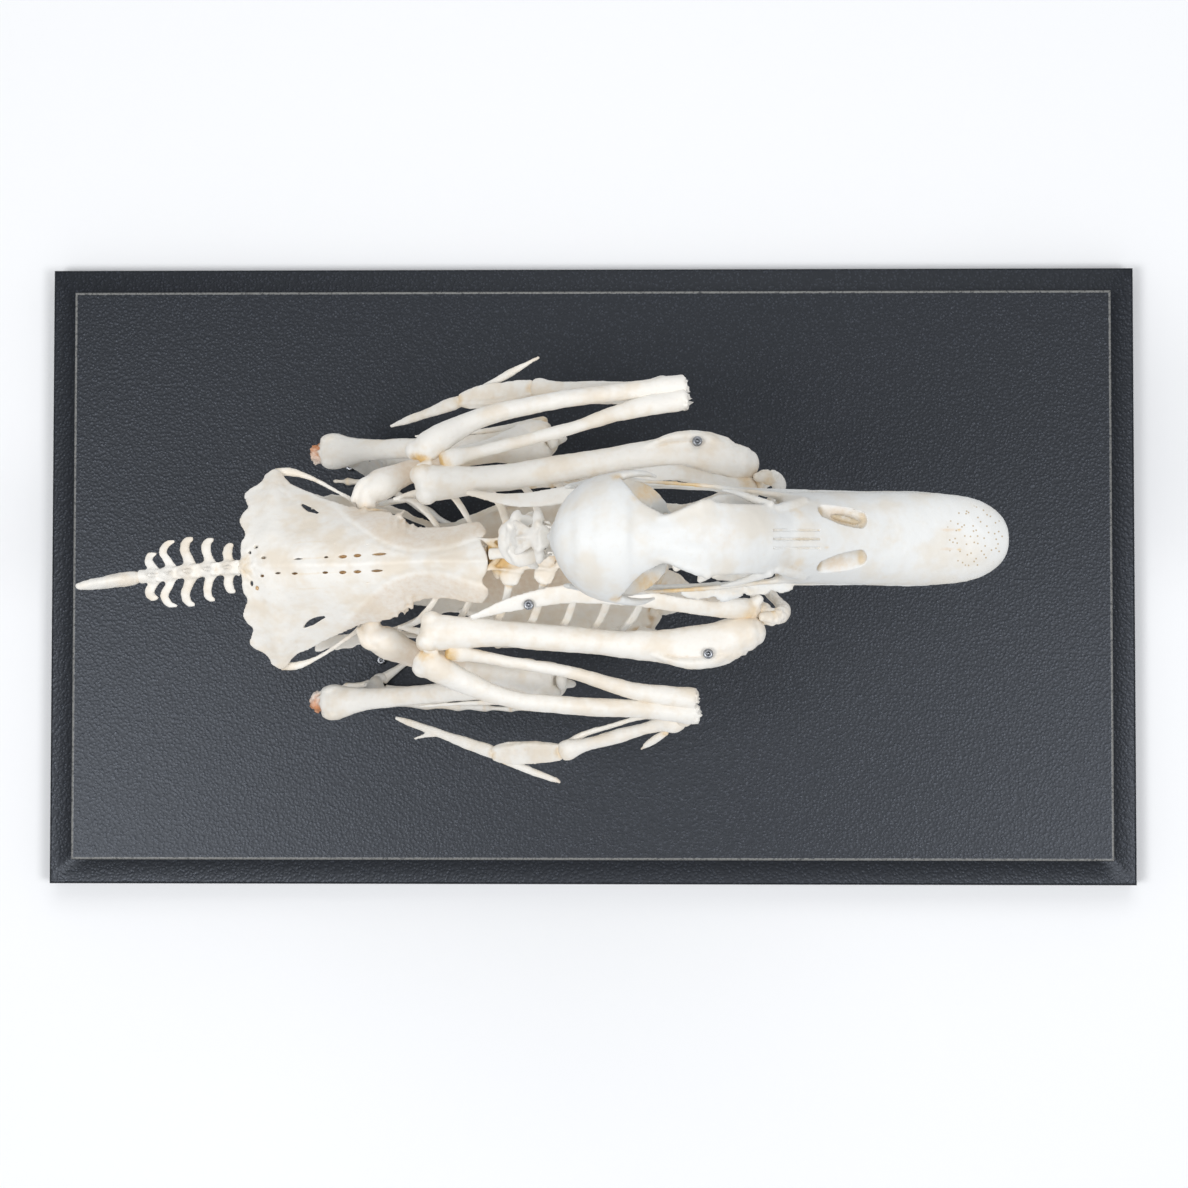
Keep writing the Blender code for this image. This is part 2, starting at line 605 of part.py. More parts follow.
# The left blade lies further out over the ribs than the right one
SCAPULA_ROWS = {
    LEFT: ((52.0, 19.0, 145.2, 3.4, 3.0), (47.0, 18.8, 148.4, 3.2, 2.6), (41, 20.2, 152, 2.8, 1.7), (31, 22.6, 157.2, 2.6, 1.2),
           (17, 21.4, 162.6, 2.8, 0.9), (0, 17.6, 166.4, 2.8, 0.8), (-18, 15.8, 167.6, 2.4, 0.7), (-33.0, 18.8, 166.6, 0.9, 0.5)),
    RIGHT: ((52.0, 19.0, 145.2, 3.4, 3.0), (47.0, 18.4, 148.4, 3.2, 2.6), (41, 18.6, 152, 2.6, 1.7), (33, 17.6, 157, 2.4, 1.2),
            (14, 14.4, 164.4, 2.7, 0.9), (-6, 13.0, 167.2, 2.9, 0.8), (-20, 15.2, 167.6, 2.4, 0.7), (-33.0, 18.8, 166.6, 0.9, 0.5)),
}

HUMERUS_PROFILE = ((0.0, 4.6, 4.8, 0), (0.06, 5.8, 5.6, 1.4), (0.13, 6.6, 5.0, 4.0), (0.2, 6.4, 4.3, 4.8),
                   (0.3, 4.9, 4.0, 4.4), (0.46, 4.1, 3.8, 3.2), (0.64, 4.0, 3.7, 1.6), (0.82, 4.1, 3.7, 0.1),
                   (0.93, 5.2, 4.2, 0), (0.98, 5.3, 4.5, 0), (1.0, 4.6, 4.0, 0))
ULNA_START = Vector((-49.0, 31.4, 157.0))
ULNA_END = Vector((34.0, 50.8, 137.0))
ULNA_PROFILE = ((0.0, 3.4, 3.6, 0), (0.05, 4.5, 4.6, 1.2), (0.12, 4.0, 4.0, 3.2), (0.22, 3.2, 3.3, 4.6),
                (0.35, 2.8, 2.9, 5.2), (0.5, 2.75, 2.8, 4.6), (0.7, 2.8, 2.8, 2.6), (0.88, 3.2, 3.1, 0.9),
                (0.96, 3.9, 3.7, 0.2), (1.0, 3.8, 3.6, 0))
RADIUS_START = Vector((-40.6, 29.6, 159.0))
RADIUS_END = Vector((33.4, 43.4, 138.5))
RADIUS_PROFILE = ((0.0, 2.6, 2.6, 0), (0.04, 3.0, 2.9, 0), (0.1, 2.2, 2.2, 0), (0.25, 1.9, 1.9, 0.4),
                  (0.5, 2.0, 2.0, 0.6), (0.7, 2.5, 2.2, 0.4), (0.88, 3.3, 2.7, 0.3), (1.0, 3.7, 2.9, 0.3))

# Hand bones, which lie a little differently on the two sides: start and end of each
HAND = {
    LEFT: {
        "carpals": ((30.8, 49.6, 132.0), (30.2, 51.6, 128.2)),
        "carpometacarpus": ((29.4, 52.2, 126.6), (-13.4, 55.6, 111.0)),
        "wing_digit_plate": ((-14.6, 55.6, 110.4), (-38.2, 54.2, 96.4)),
        "wing_digit_tip": ((-38.6, 54.0, 96.0), (-62.6, 48.4, 80.0)),
        "minor_digit": ((-33.0, 56.6, 97.8), (-12.4, 66.2, 104.0)),
        "alula": ((23.0, 48.2, 119.6), (11.0, 49.4, 114.4)),
    },
    RIGHT: {
        "carpals": ((30.8, 49.0, 132.0), (29.8, 50.6, 128.2)),
        "carpometacarpus": ((28.6, 51.4, 126.6), (-8.6, 60.2, 111.0)),
        "wing_digit_plate": ((-9.8, 60.4, 110.6), (-31.6, 60.2, 96.0)),
        "wing_digit_tip": ((-31.8, 60.0, 95.8), (-64.4, 47.6, 78.0)),
        "minor_digit": ((-28.6, 62.6, 97.8), (-10.6, 70.0, 104.0)),
        "alula": ((24.0, 55.4, 123.8), (15.8, 60.4, 117.2)),
    },
}
METACARPAL_PROFILE = ((0.0, 3.4, 2.6, 0), (0.06, 4.0, 3.2, 0), (0.16, 2.6, 2.4, 0), (0.5, 2.2, 2.1, 0),
                      (0.88, 2.5, 2.2, 0), (0.97, 3.2, 2.4, 0), (1.0, 3.0, 2.2, 0))
DIGIT_PLATE_PROFILE = ((0.0, 2.8, 1.7, 0), (0.12, 3.2, 1.5, 0), (0.5, 3.8, 1.1, 0), (0.9, 3.2, 1.2, 0),
                       (1.0, 2.4, 1.3, 0))
DIGIT_TIP_PROFILE = ((0.0, 1.9, 1.5, 0), (0.1, 2.1, 1.5, 0), (0.5, 1.4, 1.1, 0), (0.9, 0.9, 0.7, 0),
                     (1.0, 0.5, 0.5, 0))
SPIKE_PROFILE = ((0.0, 1.2, 1.0, 0), (0.3, 1.5, 1.1, 0), (0.8, 1.1, 0.8, 0), (1.0, 0.5, 0.4, 0))

FEMUR_PROFILE = ((0.0, 4.4, 4.6, 0), (0.07, 5.2, 5.2, 0.6), (0.2, 4.2, 4.2, 2.0), (0.45, 3.7, 3.6, 2.2),
                 (0.75, 4.2, 4.0, 1.0), (0.92, 6.0, 5.2, 0), (1.0, 5.2, 4.6, 0))
FEMUR_SHAFT_START = Vector((-66.0, 22.4, 137.0))
TIBIA_PROFILE = ((0.0, 4.6, 4.0, 0), (0.05, 6.0, 5.4, 0), (0.13, 4.9, 5.0, 0), (0.26, 3.8, 3.8, 0),
                 (0.45, 3.3, 3.2, 0), (0.7, 3.3, 3.0, 0), (0.85, 3.9, 3.4, 0), (0.94, 5.3, 4.7, 0),
                 (1.0, 5.6, 5.0, 0))
TARSUS_PROFILE = ((0.0, 4.6, 3.8, 0), (0.08, 4.4, 3.8, 0), (0.22, 3.0, 2.8, 0), (0.55, 2.6, 2.3, 0),
                  (0.82, 3.2, 2.4, 0), (0.94, 5.0, 2.8, 0), (1.0, 5.0, 2.6, 0))

# Toes: where each leaves the foot, its heading outwards from straight ahead, its phalanx lengths, its girth
TOES = {
    "toe_inner": ((-72.8, 33.6), -33.0, (18, 13, 8), 2.0),
    "toe_middle": ((-71.6, 37.8), -1.0, (21, 14, 12, 9), 2.2),
    "toe_outer": ((-72.6, 41.9), 5.0, (15, 11, 9, 9, 8), 2.0),
    "toe_hind": ((-77.6, 35.2), 176.0, (8, 5), 1.6),
}


HEX_FLAT = 0.87  # how far the flat of a six-sided tube lies from its middle


def toe_mesh(kind, side):
    """A toe that lies on the board: phalanges swollen at their joints, then a claw."""
    (x, y), heading, lengths, girth = TOES[kind]
    turn = math.radians(heading)
    forward = Vector((math.cos(turn), math.sin(turn), 0))
    place = ahead((x, y, 0), side)
    rows = [(place.x, y, FLOOR + girth, girth, girth)]
    for number, length in enumerate(lengths):
        claw = number == len(lengths) - 1
        size = girth * (1 - 0.1 * (number + 1))
        middle = place + forward * length * 0.5
        place = place + forward * length
        rows.append((middle.x, middle.y, FLOOR + size, size * 0.72, size * 0.72))
        end_size = 0.5 if claw else size
        rows.append((place.x, place.y, FLOOR + HEX_FLAT * end_size, end_size, end_size))
    return tube(sided(rows, side), len(rows) + 2, 6, phase=0.0, blunt=0)


def femur_mesh(side):
    """Thigh bone: round head on a short neck, shoulder at the top, paired knuckles at the knee."""
    pieces = [bone(FEMUR_SHAFT_START, KNEE, FEMUR_PROFILE, 12, side)]
    head = [(HIP.x, 12.6, HIP.z, 2.4, 2.4), (HIP.x, 14.6, HIP.z, 4.0, 4.0), (HIP.x, 17.2, HIP.z, 3.0, 3.0),
            (HIP.x, 22.4, HIP.z, 3.4, 3.4)]
    pieces.append(tube(sided(head, side), 6, 8))
    for across in (-3.4, 3.4):
        knuckle = [(KNEE.x - 4.5, KNEE.y + across, KNEE.z - 0.6, 2.8, 4.4), (KNEE.x, KNEE.y + across, KNEE.z - 0.4, 3.2, 5.6),
                   (KNEE.x + 3.6, KNEE.y + across, KNEE.z - 0.2, 2.6, 4.4)]
        pieces.append(tube(sided(knuckle, side), 4, 8))
    return fused(pieces)


def tibiotarsus_mesh(side):
    """Shin bone: flat head with a crest in front, straight shaft, bare porous end at the hock."""
    hock = ahead(HOCK, side)
    pieces = [bone(TIBIA_TOP, hock, TIBIA_PROFILE, 13, side)]
    crest = [(TIBIA_TOP.x - 8, TIBIA_TOP.y, TIBIA_TOP.z - 2, 1.6, 2.4), (TIBIA_TOP.x + 0.5, TIBIA_TOP.y, TIBIA_TOP.z + 1.0, 2.4, 3.6),
             (TIBIA_TOP.x + 4.4, TIBIA_TOP.y + 0.6, TIBIA_TOP.z + 3.0, 1.6, 3.0)]
    pieces.append(tube(sided(crest, side), 4, 6))
    along = (hock - TIBIA_TOP).normalized()
    bare = [(*(hock - along * 1.5), 3.4, 3.4), (*(hock + along * 2.0 + Vector((0, -0.6, 0))), 3.0, 3.0),
            (*(hock + along * 6.2 + Vector((0, -0.8, 0.4))), 3.3, 3.1)]
    pieces.append(tube(sided(bare, side), 4, 8, blunt=0.2))
    return fused(pieces)


def fibula_mesh(side):
    """The splint beside the shin bone, thick at the knee and fading down the shaft."""
    rows = []
    for share, clear, wide, deep in ((0.02, 6.8, 1.5, 2.8), (0.14, 5.4, 1.2, 1.5), (0.35, 4.2, 0.8, 1.0),
                                     (0.6, 3.8, 0.5, 0.7)):
        place = TIBIA_TOP.lerp(ahead(HOCK, side), share)
        rows.append((place.x, place.y + clear, place.z, wide, deep))
    return tube(sided(rows, side), 8, 6)


def tarsometatarsus_mesh(side):
    """Foot's long bone, with a pulley end for each front toe."""
    ball_of_foot = ahead(BALL_OF_FOOT, side)
    pieces = [bone(ahead(ANKLE, side), ball_of_foot, TARSUS_PROFILE, 10, side, up=(1, 0, 0))]
    for across, size in ((-4.2, 2.5), (0.0, 2.8), (4.2, 2.5)):
        place = (ball_of_foot.x + 0.8, (ball_of_foot.y + across) * side, FLOOR + size + 0.5)
        pieces.append(ball(place, (2.6, 1.9, size), 4, 7))
    spur = [(ball_of_foot.x - 1.1, 36.4, 24.6, 1.4, 1.4), (ball_of_foot.x - 3.9, 35.4, 21.6, 1.2, 1.2)]
    pieces.append(tube(sided(spur, side), 2, 5, blunt=0))
    return fused(pieces)


def humerus_mesh(side):
    """Upper arm bone: domed head, broad crest outwards, two knuckles at the elbow."""
    pieces = [bone(SHOULDER, ELBOW, HUMERUS_PROFILE, 15, side)]
    for x, y, z, size in ((-45.6, 19.2, 159.6, 3.2), (-46.6, 25.2, 160.2, 3.6)):
        pieces.append(ball((x, y * side, z), (size, size, size * 1.05), 5, 8))
    return fused(pieces)


def carpometacarpus_mesh(side):
    """Hand bone: a stout shaft and a thin one, joined at both ends with a long slot between."""
    start, end = (Vector(place) for place in HAND[side]["carpometacarpus"])
    pieces = [bone(start, end, METACARPAL_PROFILE, 10, side)]
    slim = []
    for share, out, wide in ((0.1, 1.6, 1.5), (0.25, 4.4, 1.1), (0.6, 5.0, 1.0), (0.88, 4.0, 1.2), (0.98, 1.8, 1.4)):
        place = start.lerp(end, share) + Vector((0, -out * 0.75, -out * 0.62))
        slim.append((*place, wide, wide))
    pieces.append(tube(sided(slim, side), 8, 6))
    return fused(pieces)


def carpals_mesh(side):
    """The two small wrist bones with the crust of gristle that joins them."""
    upper, lower = HAND[side]["carpals"]
    pieces = [ball((upper[0], upper[1] * side, upper[2]), (3.0, 4.4, 2.6), 5, 7)]
    pieces.append(ball((lower[0], lower[1] * side, lower[2]), (3.0, 3.2, 2.8), 5, 7))
    return fused(pieces)


def hand_piece(kind, profile, side, rings=7, sides=6):
    start, end = (Vector(place) for place in HAND[side][kind])
    return bone(start, end, profile, rings, side, sides)


# Half width, top and hollow of the upper bill, from its root to its tip
BILL_ROOT = 61.0
BILL_WIDTHS = ((61, 12.0), (66, 12.3), (75, 12.5), (90, 12.7), (101, 12.65), (110, 12.3), (115, 11.5), (119, 9.9),
               (122, 7.8), (124.2, 5.2), (125, 3.2))
BILL_TOPS = ((61, 19.5), (66, 17.6), (72, 14.9), (80, 11.8), (90, 9.0), (100, 7.2), (110, 5.6), (118, 4.2), (125, 2.6))
BILL_EDGE = 0.9


def bill_row(along):
    """The place along the bill for a share, closer together towards the rounded tip."""
    return BILL_ROOT + (SKULL_LENGTH - BILL_ROOT) * (1 - (1 - along) ** 1.35)


def bill_top(along, across):
    """The bill's outer surface: a low arch across."""
    x = bill_row(along)
    share = 2 * across - 1
    rise = eased(x, BILL_TOPS) - BILL_EDGE
    return (x, share * eased(x, BILL_WIDTHS), BILL_EDGE + rise * (1 - abs(share) ** 2.3) ** 0.62)


def bill_palate(along, across):
    """The bill's under surface, hollowed between its edges."""
    x, y, _ = bill_top(along, across)
    share = 2 * across - 1
    hollow = min(2.4, 0.34 * (eased(x, BILL_TOPS) - BILL_EDGE))
    return (x, y, BILL_EDGE - 0.7 + hollow * (1 - share ** 2))


ROOF_WIDTHS = ((20, 7.6), (24, 6.3), (28, 6.8), (33, 9.2), (38, 10.9), (44, 10.0), (53, 9.6), (60, 10.4), (66, 10.8))
ROOF_TOPS = ((20, 29.4), (28, 29.9), (38, 29.0), (48, 26.4), (56, 22.6), (62, 19.2), (66, 17.0))


ROOF_CROWNS = ((20, 1.6), (44, 2.2), (54, 4.0), (62, 8.0), (66, 9.5))


def roof_surface(along, across, offset):
    """The frontal bones between the eye sockets, crowned across and arched down where they meet the bill."""
    x = 20.0 + 46.0 * along
    share = 2 * across - 1
    fall = eased(x, ROOF_CROWNS) * abs(share) ** 2.4
    return (x, share * eased(x, ROOF_WIDTHS), eased(x, ROOF_TOPS) - fall + offset)


def septum_surface(along, up, side):
    """The thin wall between the eye sockets, from the palate to just inside the frontal bones."""
    x = 24 + (40 - 9 * up) * along
    low = 5 + 1.5 * along
    return (x, side * (0.7 + 0.5 * up), low + (eased(x, ROOF_TOPS) - 1.2 - low) * up)


BRAINCASE_ROWS = ((1.6, 0, 15.6, 6.8, 6.6), (2.8, 0, 15.8, 10.6, 9.2), (5.4, 0, 16.0, 13.9, 11.7),
                  (9.4, 0, 16.3, 16.2, 13.4), (14, 0, 16.8, 17.0, 14.0), (17.5, 0, 17.4, 14.8, 13.6),
                  (21, 0, 18.6, 10.2, 11.8), (26, 0, 20.6, 5.8, 9.2))


def skull_mesh():
    """The skull without its lower jaw, in the head's frame: back of the head at x = 0, bill edge at z = 0."""
    pieces = [tube(BRAINCASE_ROWS, 12, 14, upright=True)]
    pieces.append(plate(lambda u, v: roof_surface(u, v, 0), lambda u, v: roof_surface(u, v, -2.2), 13, 7))
    pieces.append(plate(bill_top, bill_palate, 15, 11))
    pieces.append(plate(lambda u, v: septum_surface(u, v, 1), lambda u, v: septum_surface(u, v, -1), 5, 3))
    pieces.append(tube([(8, 0, 4.2, 4.0, 3.0), (24, 0, 4.6, 2.2, 2.0), (44, 0, 5.8, 1.5, 1.6),
                        (66, 0, 6.4, 1.6, 1.8)], 6, 6))
    pieces.append(ball((0.9, 0, 8.2), (3.2, 2.0, 1.7), 5, 8))
    for side in (LEFT, RIGHT):
        process = [(13, 13.4, 19, 3.2, 3.4), (18, 16.2, 18, 2.1, 2.4), (22, 17.0, 15.5, 1.4, 1.7), (26, 16.8, 12.6, 0.6, 0.8)]
        pieces.append(tube(sided(process, side), 5, 6))
        lacrimal = [(56, 8.8, 17.4, 2.6, 1.5), (52, 11.0, 15.2, 2.0, 1.5), (47, 12.6, 11.4, 1.5, 1.1),
                    (41, 13.2, 8.2, 0.7, 0.6)]
        pieces.append(tube(sided(lacrimal, side), 5, 6))
        quadrate = [(16.5, 12.6, 9, 2.8, 2.8), (18.5, 13.4, 4.0, 2.2, 2.4), (20.0, 13.8, -1.8, 2.6, 3.0)]
        pieces.append(tube(sided(quadrate, side), 4, 6, up=(1, 0, 0)))
        jugal = [(19.5, 14.4, 2.0, 0.9, 1.0), (42, 13.6, 1.5, 0.8, 0.8), (64, 11.4, 3.4, 1.0, 1.2)]
        pieces.append(tube(sided(jugal, side), 6, 6))
        pterygoid = [(19.5, 11.6, 2.4, 1.3, 1.3), (32, 4.0, 5.0, 1.3, 1.3), (45, 4.6, 4.4, 2.3, 0.9), (66, 7.0, 3.4, 2.0, 0.9)]
        pieces.append(tube(sided(pterygoid, side), 7, 6))
    whole = fused(pieces)
    nostrils = []
    for side in (LEFT, RIGHT):
        pit = [(70.6, 7.8, 12.0, 1.2, 4.8), (73, 7.2, 12.0, 2.1, 5.6), (77.5, 6.0, 11.6, 2.4, 5.8),
               (82, 4.6, 11.0, 2.1, 5.4), (84.2, 3.9, 10.6, 1.2, 4.6)]
        nostrils.append(tube(sided(pit, side), 6, 8))
    return combined(whole, nostrils, "DIFFERENCE")


MANDIBLE_LEFT = ((4.5, 13.6, 3.6, 0.8, 1.6), (9, 14.0, -1.6, 1.1, 2.4), (16, 14.2, -4.4, 1.8, 2.8),
                 (22, 14.2, -4.8, 1.6, 2.8), (38, 13.6, -4.6, 1.0, 3.4), (60, 12.4, -4.4, 0.9, 2.8),
                 (85, 12.0, -3.4, 0.9, 2.1), (105, 11.6, -2.9, 1.0, 1.5), (115, 9.4, -2.5, 1.2, 1.3),
                 (121, 5.2, -2.3, 1.3, 1.2))


def mandible_mesh():
    """The lower jaw, one U with a spoon-shaped plate between its tips."""
    right = [(x, -y, z, wide, deep) for x, y, z, wide, deep in reversed(MANDIBLE_LEFT)]
    pieces = [tube(list(MANDIBLE_LEFT) + [(123.0, 0, -2.2, 1.3, 1.2)] + right, 37, 6)]
    pieces.append(plate(lambda u, v: (105 + 17 * u, (2 * v - 1) * (11.2 - 6 * u * u), -2.0),
                        lambda u, v: (105 + 17 * u, (2 * v - 1) * (11.2 - 6 * u * u), -3.2), 4, 4))
    return fused(pieces)


def pin_mesh(place, direction, radius=1.5, height=2.6):
    """A small domed pin head standing on a bone or on the board."""
    place, direction = Vector(place), Vector(direction).normalized()
    top = place + direction * height
    up = (1, 0, 0) if abs(direction.z) > 0.5 else (0, 0, 1)
    return tube([(*place, radius, radius), (*top, radius * 0.8, radius * 0.8)], 2, 10, up=up, blunt=0)


def build_head(finish):
    head, placed = empty("head", HEAD_PLACE, Euler((HEAD_ROLL, HEAD_PITCH, 0.0), "XYZ"))
    skull = lightened(skull_mesh(), 0.8)
    node("skull", skull, finish, head)
    node("mandible", cut_clear(mandible_mesh(), [skull]), finish, head)
    return skull, placed


def build_trunk(finish, body, skull):
    pelvis = lightened(pelvis_mesh(), 0.75)
    node("pelvis", pelvis, finish, body)
    node("tail_vertebrae", lightened(tail_mesh(), 0.8), finish, body)
    node("pygostyle", pygostyle_mesh(), finish, body)
    thoracic = lightened(thoracic_mesh(), 0.7)
    node("thoracic_spine", thoracic, finish, body)
    below = thoracic
    for name, first, last in NECK_NODES:
        above = [skull] if last == NECK_COUNT else []
        neck = cut_clear(lightened(neck_mesh(first, last), 0.7), [below, *above], 0.42)
        node(name, neck, finish, body)
        below = neck
    sternum = lightened(sternum_mesh(), 0.8)
    node("sternum", sternum, finish, body)
    furcula = furcula_mesh()
    node("furcula", furcula, finish, body)
    for side in (LEFT, RIGHT):
        ribs = cut_clear(lightened(rib_cage_mesh(side), 0.75), [sternum, thoracic, pelvis], 0.42)
        node(f"rib_cage_{SIDE_NAMES[side]}", ribs, finish, body)
    return pelvis, sternum, furcula


def build_wing(finish, body, side, sternum, furcula):
    label = SIDE_NAMES[side]
    coracoid = bone(CORACOID_TOP, CORACOID_FOOT, CORACOID_PROFILE, 12, side)
    coracoid = cut_clear(coracoid, [sternum, furcula], 0.55)
    node(f"coracoid_{label}", coracoid, finish, body)
    scapula = cut_clear(tube(sided(SCAPULA_ROWS[side], side), 14, 8, up=(0, 0.35 * side, 1)), [coracoid, furcula])
    node(f"scapula_{label}", scapula, finish, body)
    humerus = cut_clear(humerus_mesh(side), [coracoid, scapula])
    node(f"humerus_{label}", humerus, finish, body)
    ulna = cut_clear(bone(ULNA_START, ULNA_END, ULNA_PROFILE, 14, side), [humerus])
    node(f"ulna_{label}", ulna, finish, body)
    radius = cut_clear(bone(RADIUS_START, RADIUS_END, RADIUS_PROFILE, 12, side), [humerus, ulna])
    node(f"radius_{label}", radius, finish, body)
    carpals = cut_clear(carpals_mesh(side), [ulna, radius])
    node(f"carpals_{label}", carpals, finish, body)
    hand = cut_clear(carpometacarpus_mesh(side), [carpals, ulna, radius])
    node(f"carpometacarpus_{label}", hand, finish, body)
    broad = cut_clear(hand_piece("wing_digit_plate", DIGIT_PLATE_PROFILE, side, 8), [hand])
    node(f"wing_digit_plate_{label}", broad, finish, body)
    tip = cut_clear(hand_piece("wing_digit_tip", DIGIT_TIP_PROFILE, side), [broad])
    node(f"wing_digit_tip_{label}", tip, finish, body)
    node(f"minor_digit_{label}", cut_clear(hand_piece("minor_digit", SPIKE_PROFILE, side, 5), [broad]), finish, body)
    node(f"alula_{label}", cut_clear(hand_piece("alula", SPIKE_PROFILE, side, 5), [hand]), finish, body)


def build_leg(finish, body, side, pelvis):
    label = SIDE_NAMES[side]
    femur = cut_clear(femur_mesh(side), [pelvis])
    node(f"femur_{label}", femur, finish, body)
    kneecap = ball((KNEE.x + 5.8, KNEE.y * side, KNEE.z + 2.4), (1.9, 3.0, 2.8), 5, 7)
    node(f"patella_{label}", cut_clear(kneecap, [femur]), finish, body)
    shin = cut_clear(tibiotarsus_mesh(side), [femur])
    node(f"tibiotarsus_{label}", shin, finish, body)
    node(f"fibula_{label}", cut_clear(fibula_mesh(side), [shin, femur]), finish, body)
    tarsus = cut_clear(tarsometatarsus_mesh(side), [shin])
    node(f"tarsometatarsus_{label}", tarsus, finish, body)
    done = [tarsus]
    for kind in TOES:
        toe = cut_clear(toe_mesh(kind, side), done)
        node(f"{kind}_{label}", toe, finish, body)
        done.append(toe)


PINS = (
    ("pin_humerus_left", (36.8, 32.4, 151.6), (0.05, 0.3, 1), "humerus_left"),
    ("pin_humerus_right", (37.6, -31.8, 151.6), (0.05, -0.3, 1), "humerus_right"),
    ("pin_scapula_right", (-15.6, -15.4, 167.2), (0, -0.2, 1), "scapula_right"),
    ("pin_foot_left", (-82.6, 41.0, FLOOR), (0, 0, 1), None),
    ("pin_foot_right", (-74.0, -27.0, FLOOR), (0, 0, 1), None),
)


def main():
    clear_scene()
    bone_finish = material("bleached_bone", BONE_COLOUR, 0.55)
    board_finish = material("black_textured_board", BOARD_COLOUR, 0.6)
    steel_finish = material("steel_pin", STEEL_COLOUR, 0.3, 1.0)
    node("board", board_mesh(), board_finish, None)
    body, trunk_placed = empty("trunk", Vector((0, 0, 0)), Euler((0, 0, BODY_YAW)))
    skull, head_placed = build_head(bone_finish)
    skull_from_trunk = skull.copy()
    skull_from_trunk.transform(trunk_placed.inverted() @ head_placed)
    pelvis, sternum, furcula = build_trunk(bone_finish, body, skull_from_trunk)
    for side in (LEFT, RIGHT):
        build_wing(bone_finish, body, side, sternum, furcula)
        build_leg(bone_finish, body, side, pelvis)
    for name, place, direction, bearer in PINS:
        pin = pin_mesh(place, direction)
        if bearer:
            pin = cut_clear(pin, [bpy.data.objects[bearer].data])
        node(name, pin, steel_finish, body)


main()
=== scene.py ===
import logging
import math
from dataclasses import dataclass, field, replace
from enum import Enum
from typing import Callable, Sequence

import bpy
import numpy as np
from mathutils import Euler, Matrix, Vector


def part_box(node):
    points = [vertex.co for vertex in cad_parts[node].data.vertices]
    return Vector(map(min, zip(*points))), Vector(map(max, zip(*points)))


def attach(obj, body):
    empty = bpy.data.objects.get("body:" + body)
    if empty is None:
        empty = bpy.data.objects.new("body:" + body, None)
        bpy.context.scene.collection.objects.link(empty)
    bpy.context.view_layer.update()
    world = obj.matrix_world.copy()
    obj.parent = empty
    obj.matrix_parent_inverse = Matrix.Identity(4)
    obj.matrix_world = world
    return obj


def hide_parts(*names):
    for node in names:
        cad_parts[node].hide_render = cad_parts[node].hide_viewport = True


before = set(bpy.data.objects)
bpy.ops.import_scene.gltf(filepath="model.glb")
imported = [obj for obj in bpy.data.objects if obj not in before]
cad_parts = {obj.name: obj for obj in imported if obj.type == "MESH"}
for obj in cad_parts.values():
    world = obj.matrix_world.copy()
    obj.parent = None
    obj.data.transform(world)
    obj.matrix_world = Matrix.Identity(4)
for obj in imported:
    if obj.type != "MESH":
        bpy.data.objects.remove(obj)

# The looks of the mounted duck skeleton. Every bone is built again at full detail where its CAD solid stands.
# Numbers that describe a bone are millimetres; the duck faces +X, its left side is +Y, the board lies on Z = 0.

LOG = logging.getLogger("duck_skeleton")
MM = 0.001

Place = Sequence[float]
Rows = Sequence[Place]
Socket = bpy.types.NodeSocket
Shape = Callable[[np.ndarray, np.ndarray], np.ndarray]


class Side(Enum):
    """The two sides of the duck; the value multiplies Y."""

    LEFT = 1
    RIGHT = -1

    @property
    def label(self) -> str:
        """The side's name as the CAD nodes spell it."""
        return self.name.lower()


class Tint(Enum):
    """The marks a bone carries, each a vertex attribute of its own that the bone material reads."""

    AMBER = "amber"      # glue and dried gristle at the joints
    BLUSH = "blush"      # pinkish beige, partly fat stain and partly painted shade on hollow and covered bones
    SPONGE = "sponge"    # orange porous bone where the end is bare
    DARK = "dark"        # painted shade inside small holes and grooves
    PINHOLE = "pinhole"  # painted shade of the nerve holes that prick the bill tip, drawn as dots
    HOLLOW = "hollow"    # painted shade: how deep a spot lies among its surroundings, partly glue in the crevices


def mirrored(place: Place, side: Side) -> Place:
    """A place of the left side, on the asked side."""
    return place[0], place[1] * side.value, place[2]


@dataclass(frozen=True)
class Mark:
    """A round or stretched patch of one tint.

    place: its middle; radius: its reach along x, y and z; strength: how strong it is there.
    """

    tint: Tint
    place: Place
    radius: Place
    strength: float = 1.0

    def on(self, side: Side) -> "Mark":
        """The mark on the asked side of the duck."""
        return replace(self, place=mirrored(self.place, side))


def amber(place: Place, radius: Place, strength: float = 1.0) -> Mark:
    """A mark of dried gristle or glue."""
    return Mark(Tint.AMBER, place, radius, strength)


@dataclass(frozen=True)
class Crumble:
    """A ball inside which the surface is rough, as at the bare end of a bone.

    place: its middle; radius: its reach; height: how far the surface is pushed; grain: size of the crumbs.
    """

    place: Place
    radius: float
    height: float
    grain: float = 1.2

    def on(self, side: Side) -> "Crumble":
        """The crumble on the asked side of the duck."""
        return replace(self, place=mirrored(self.place, side))


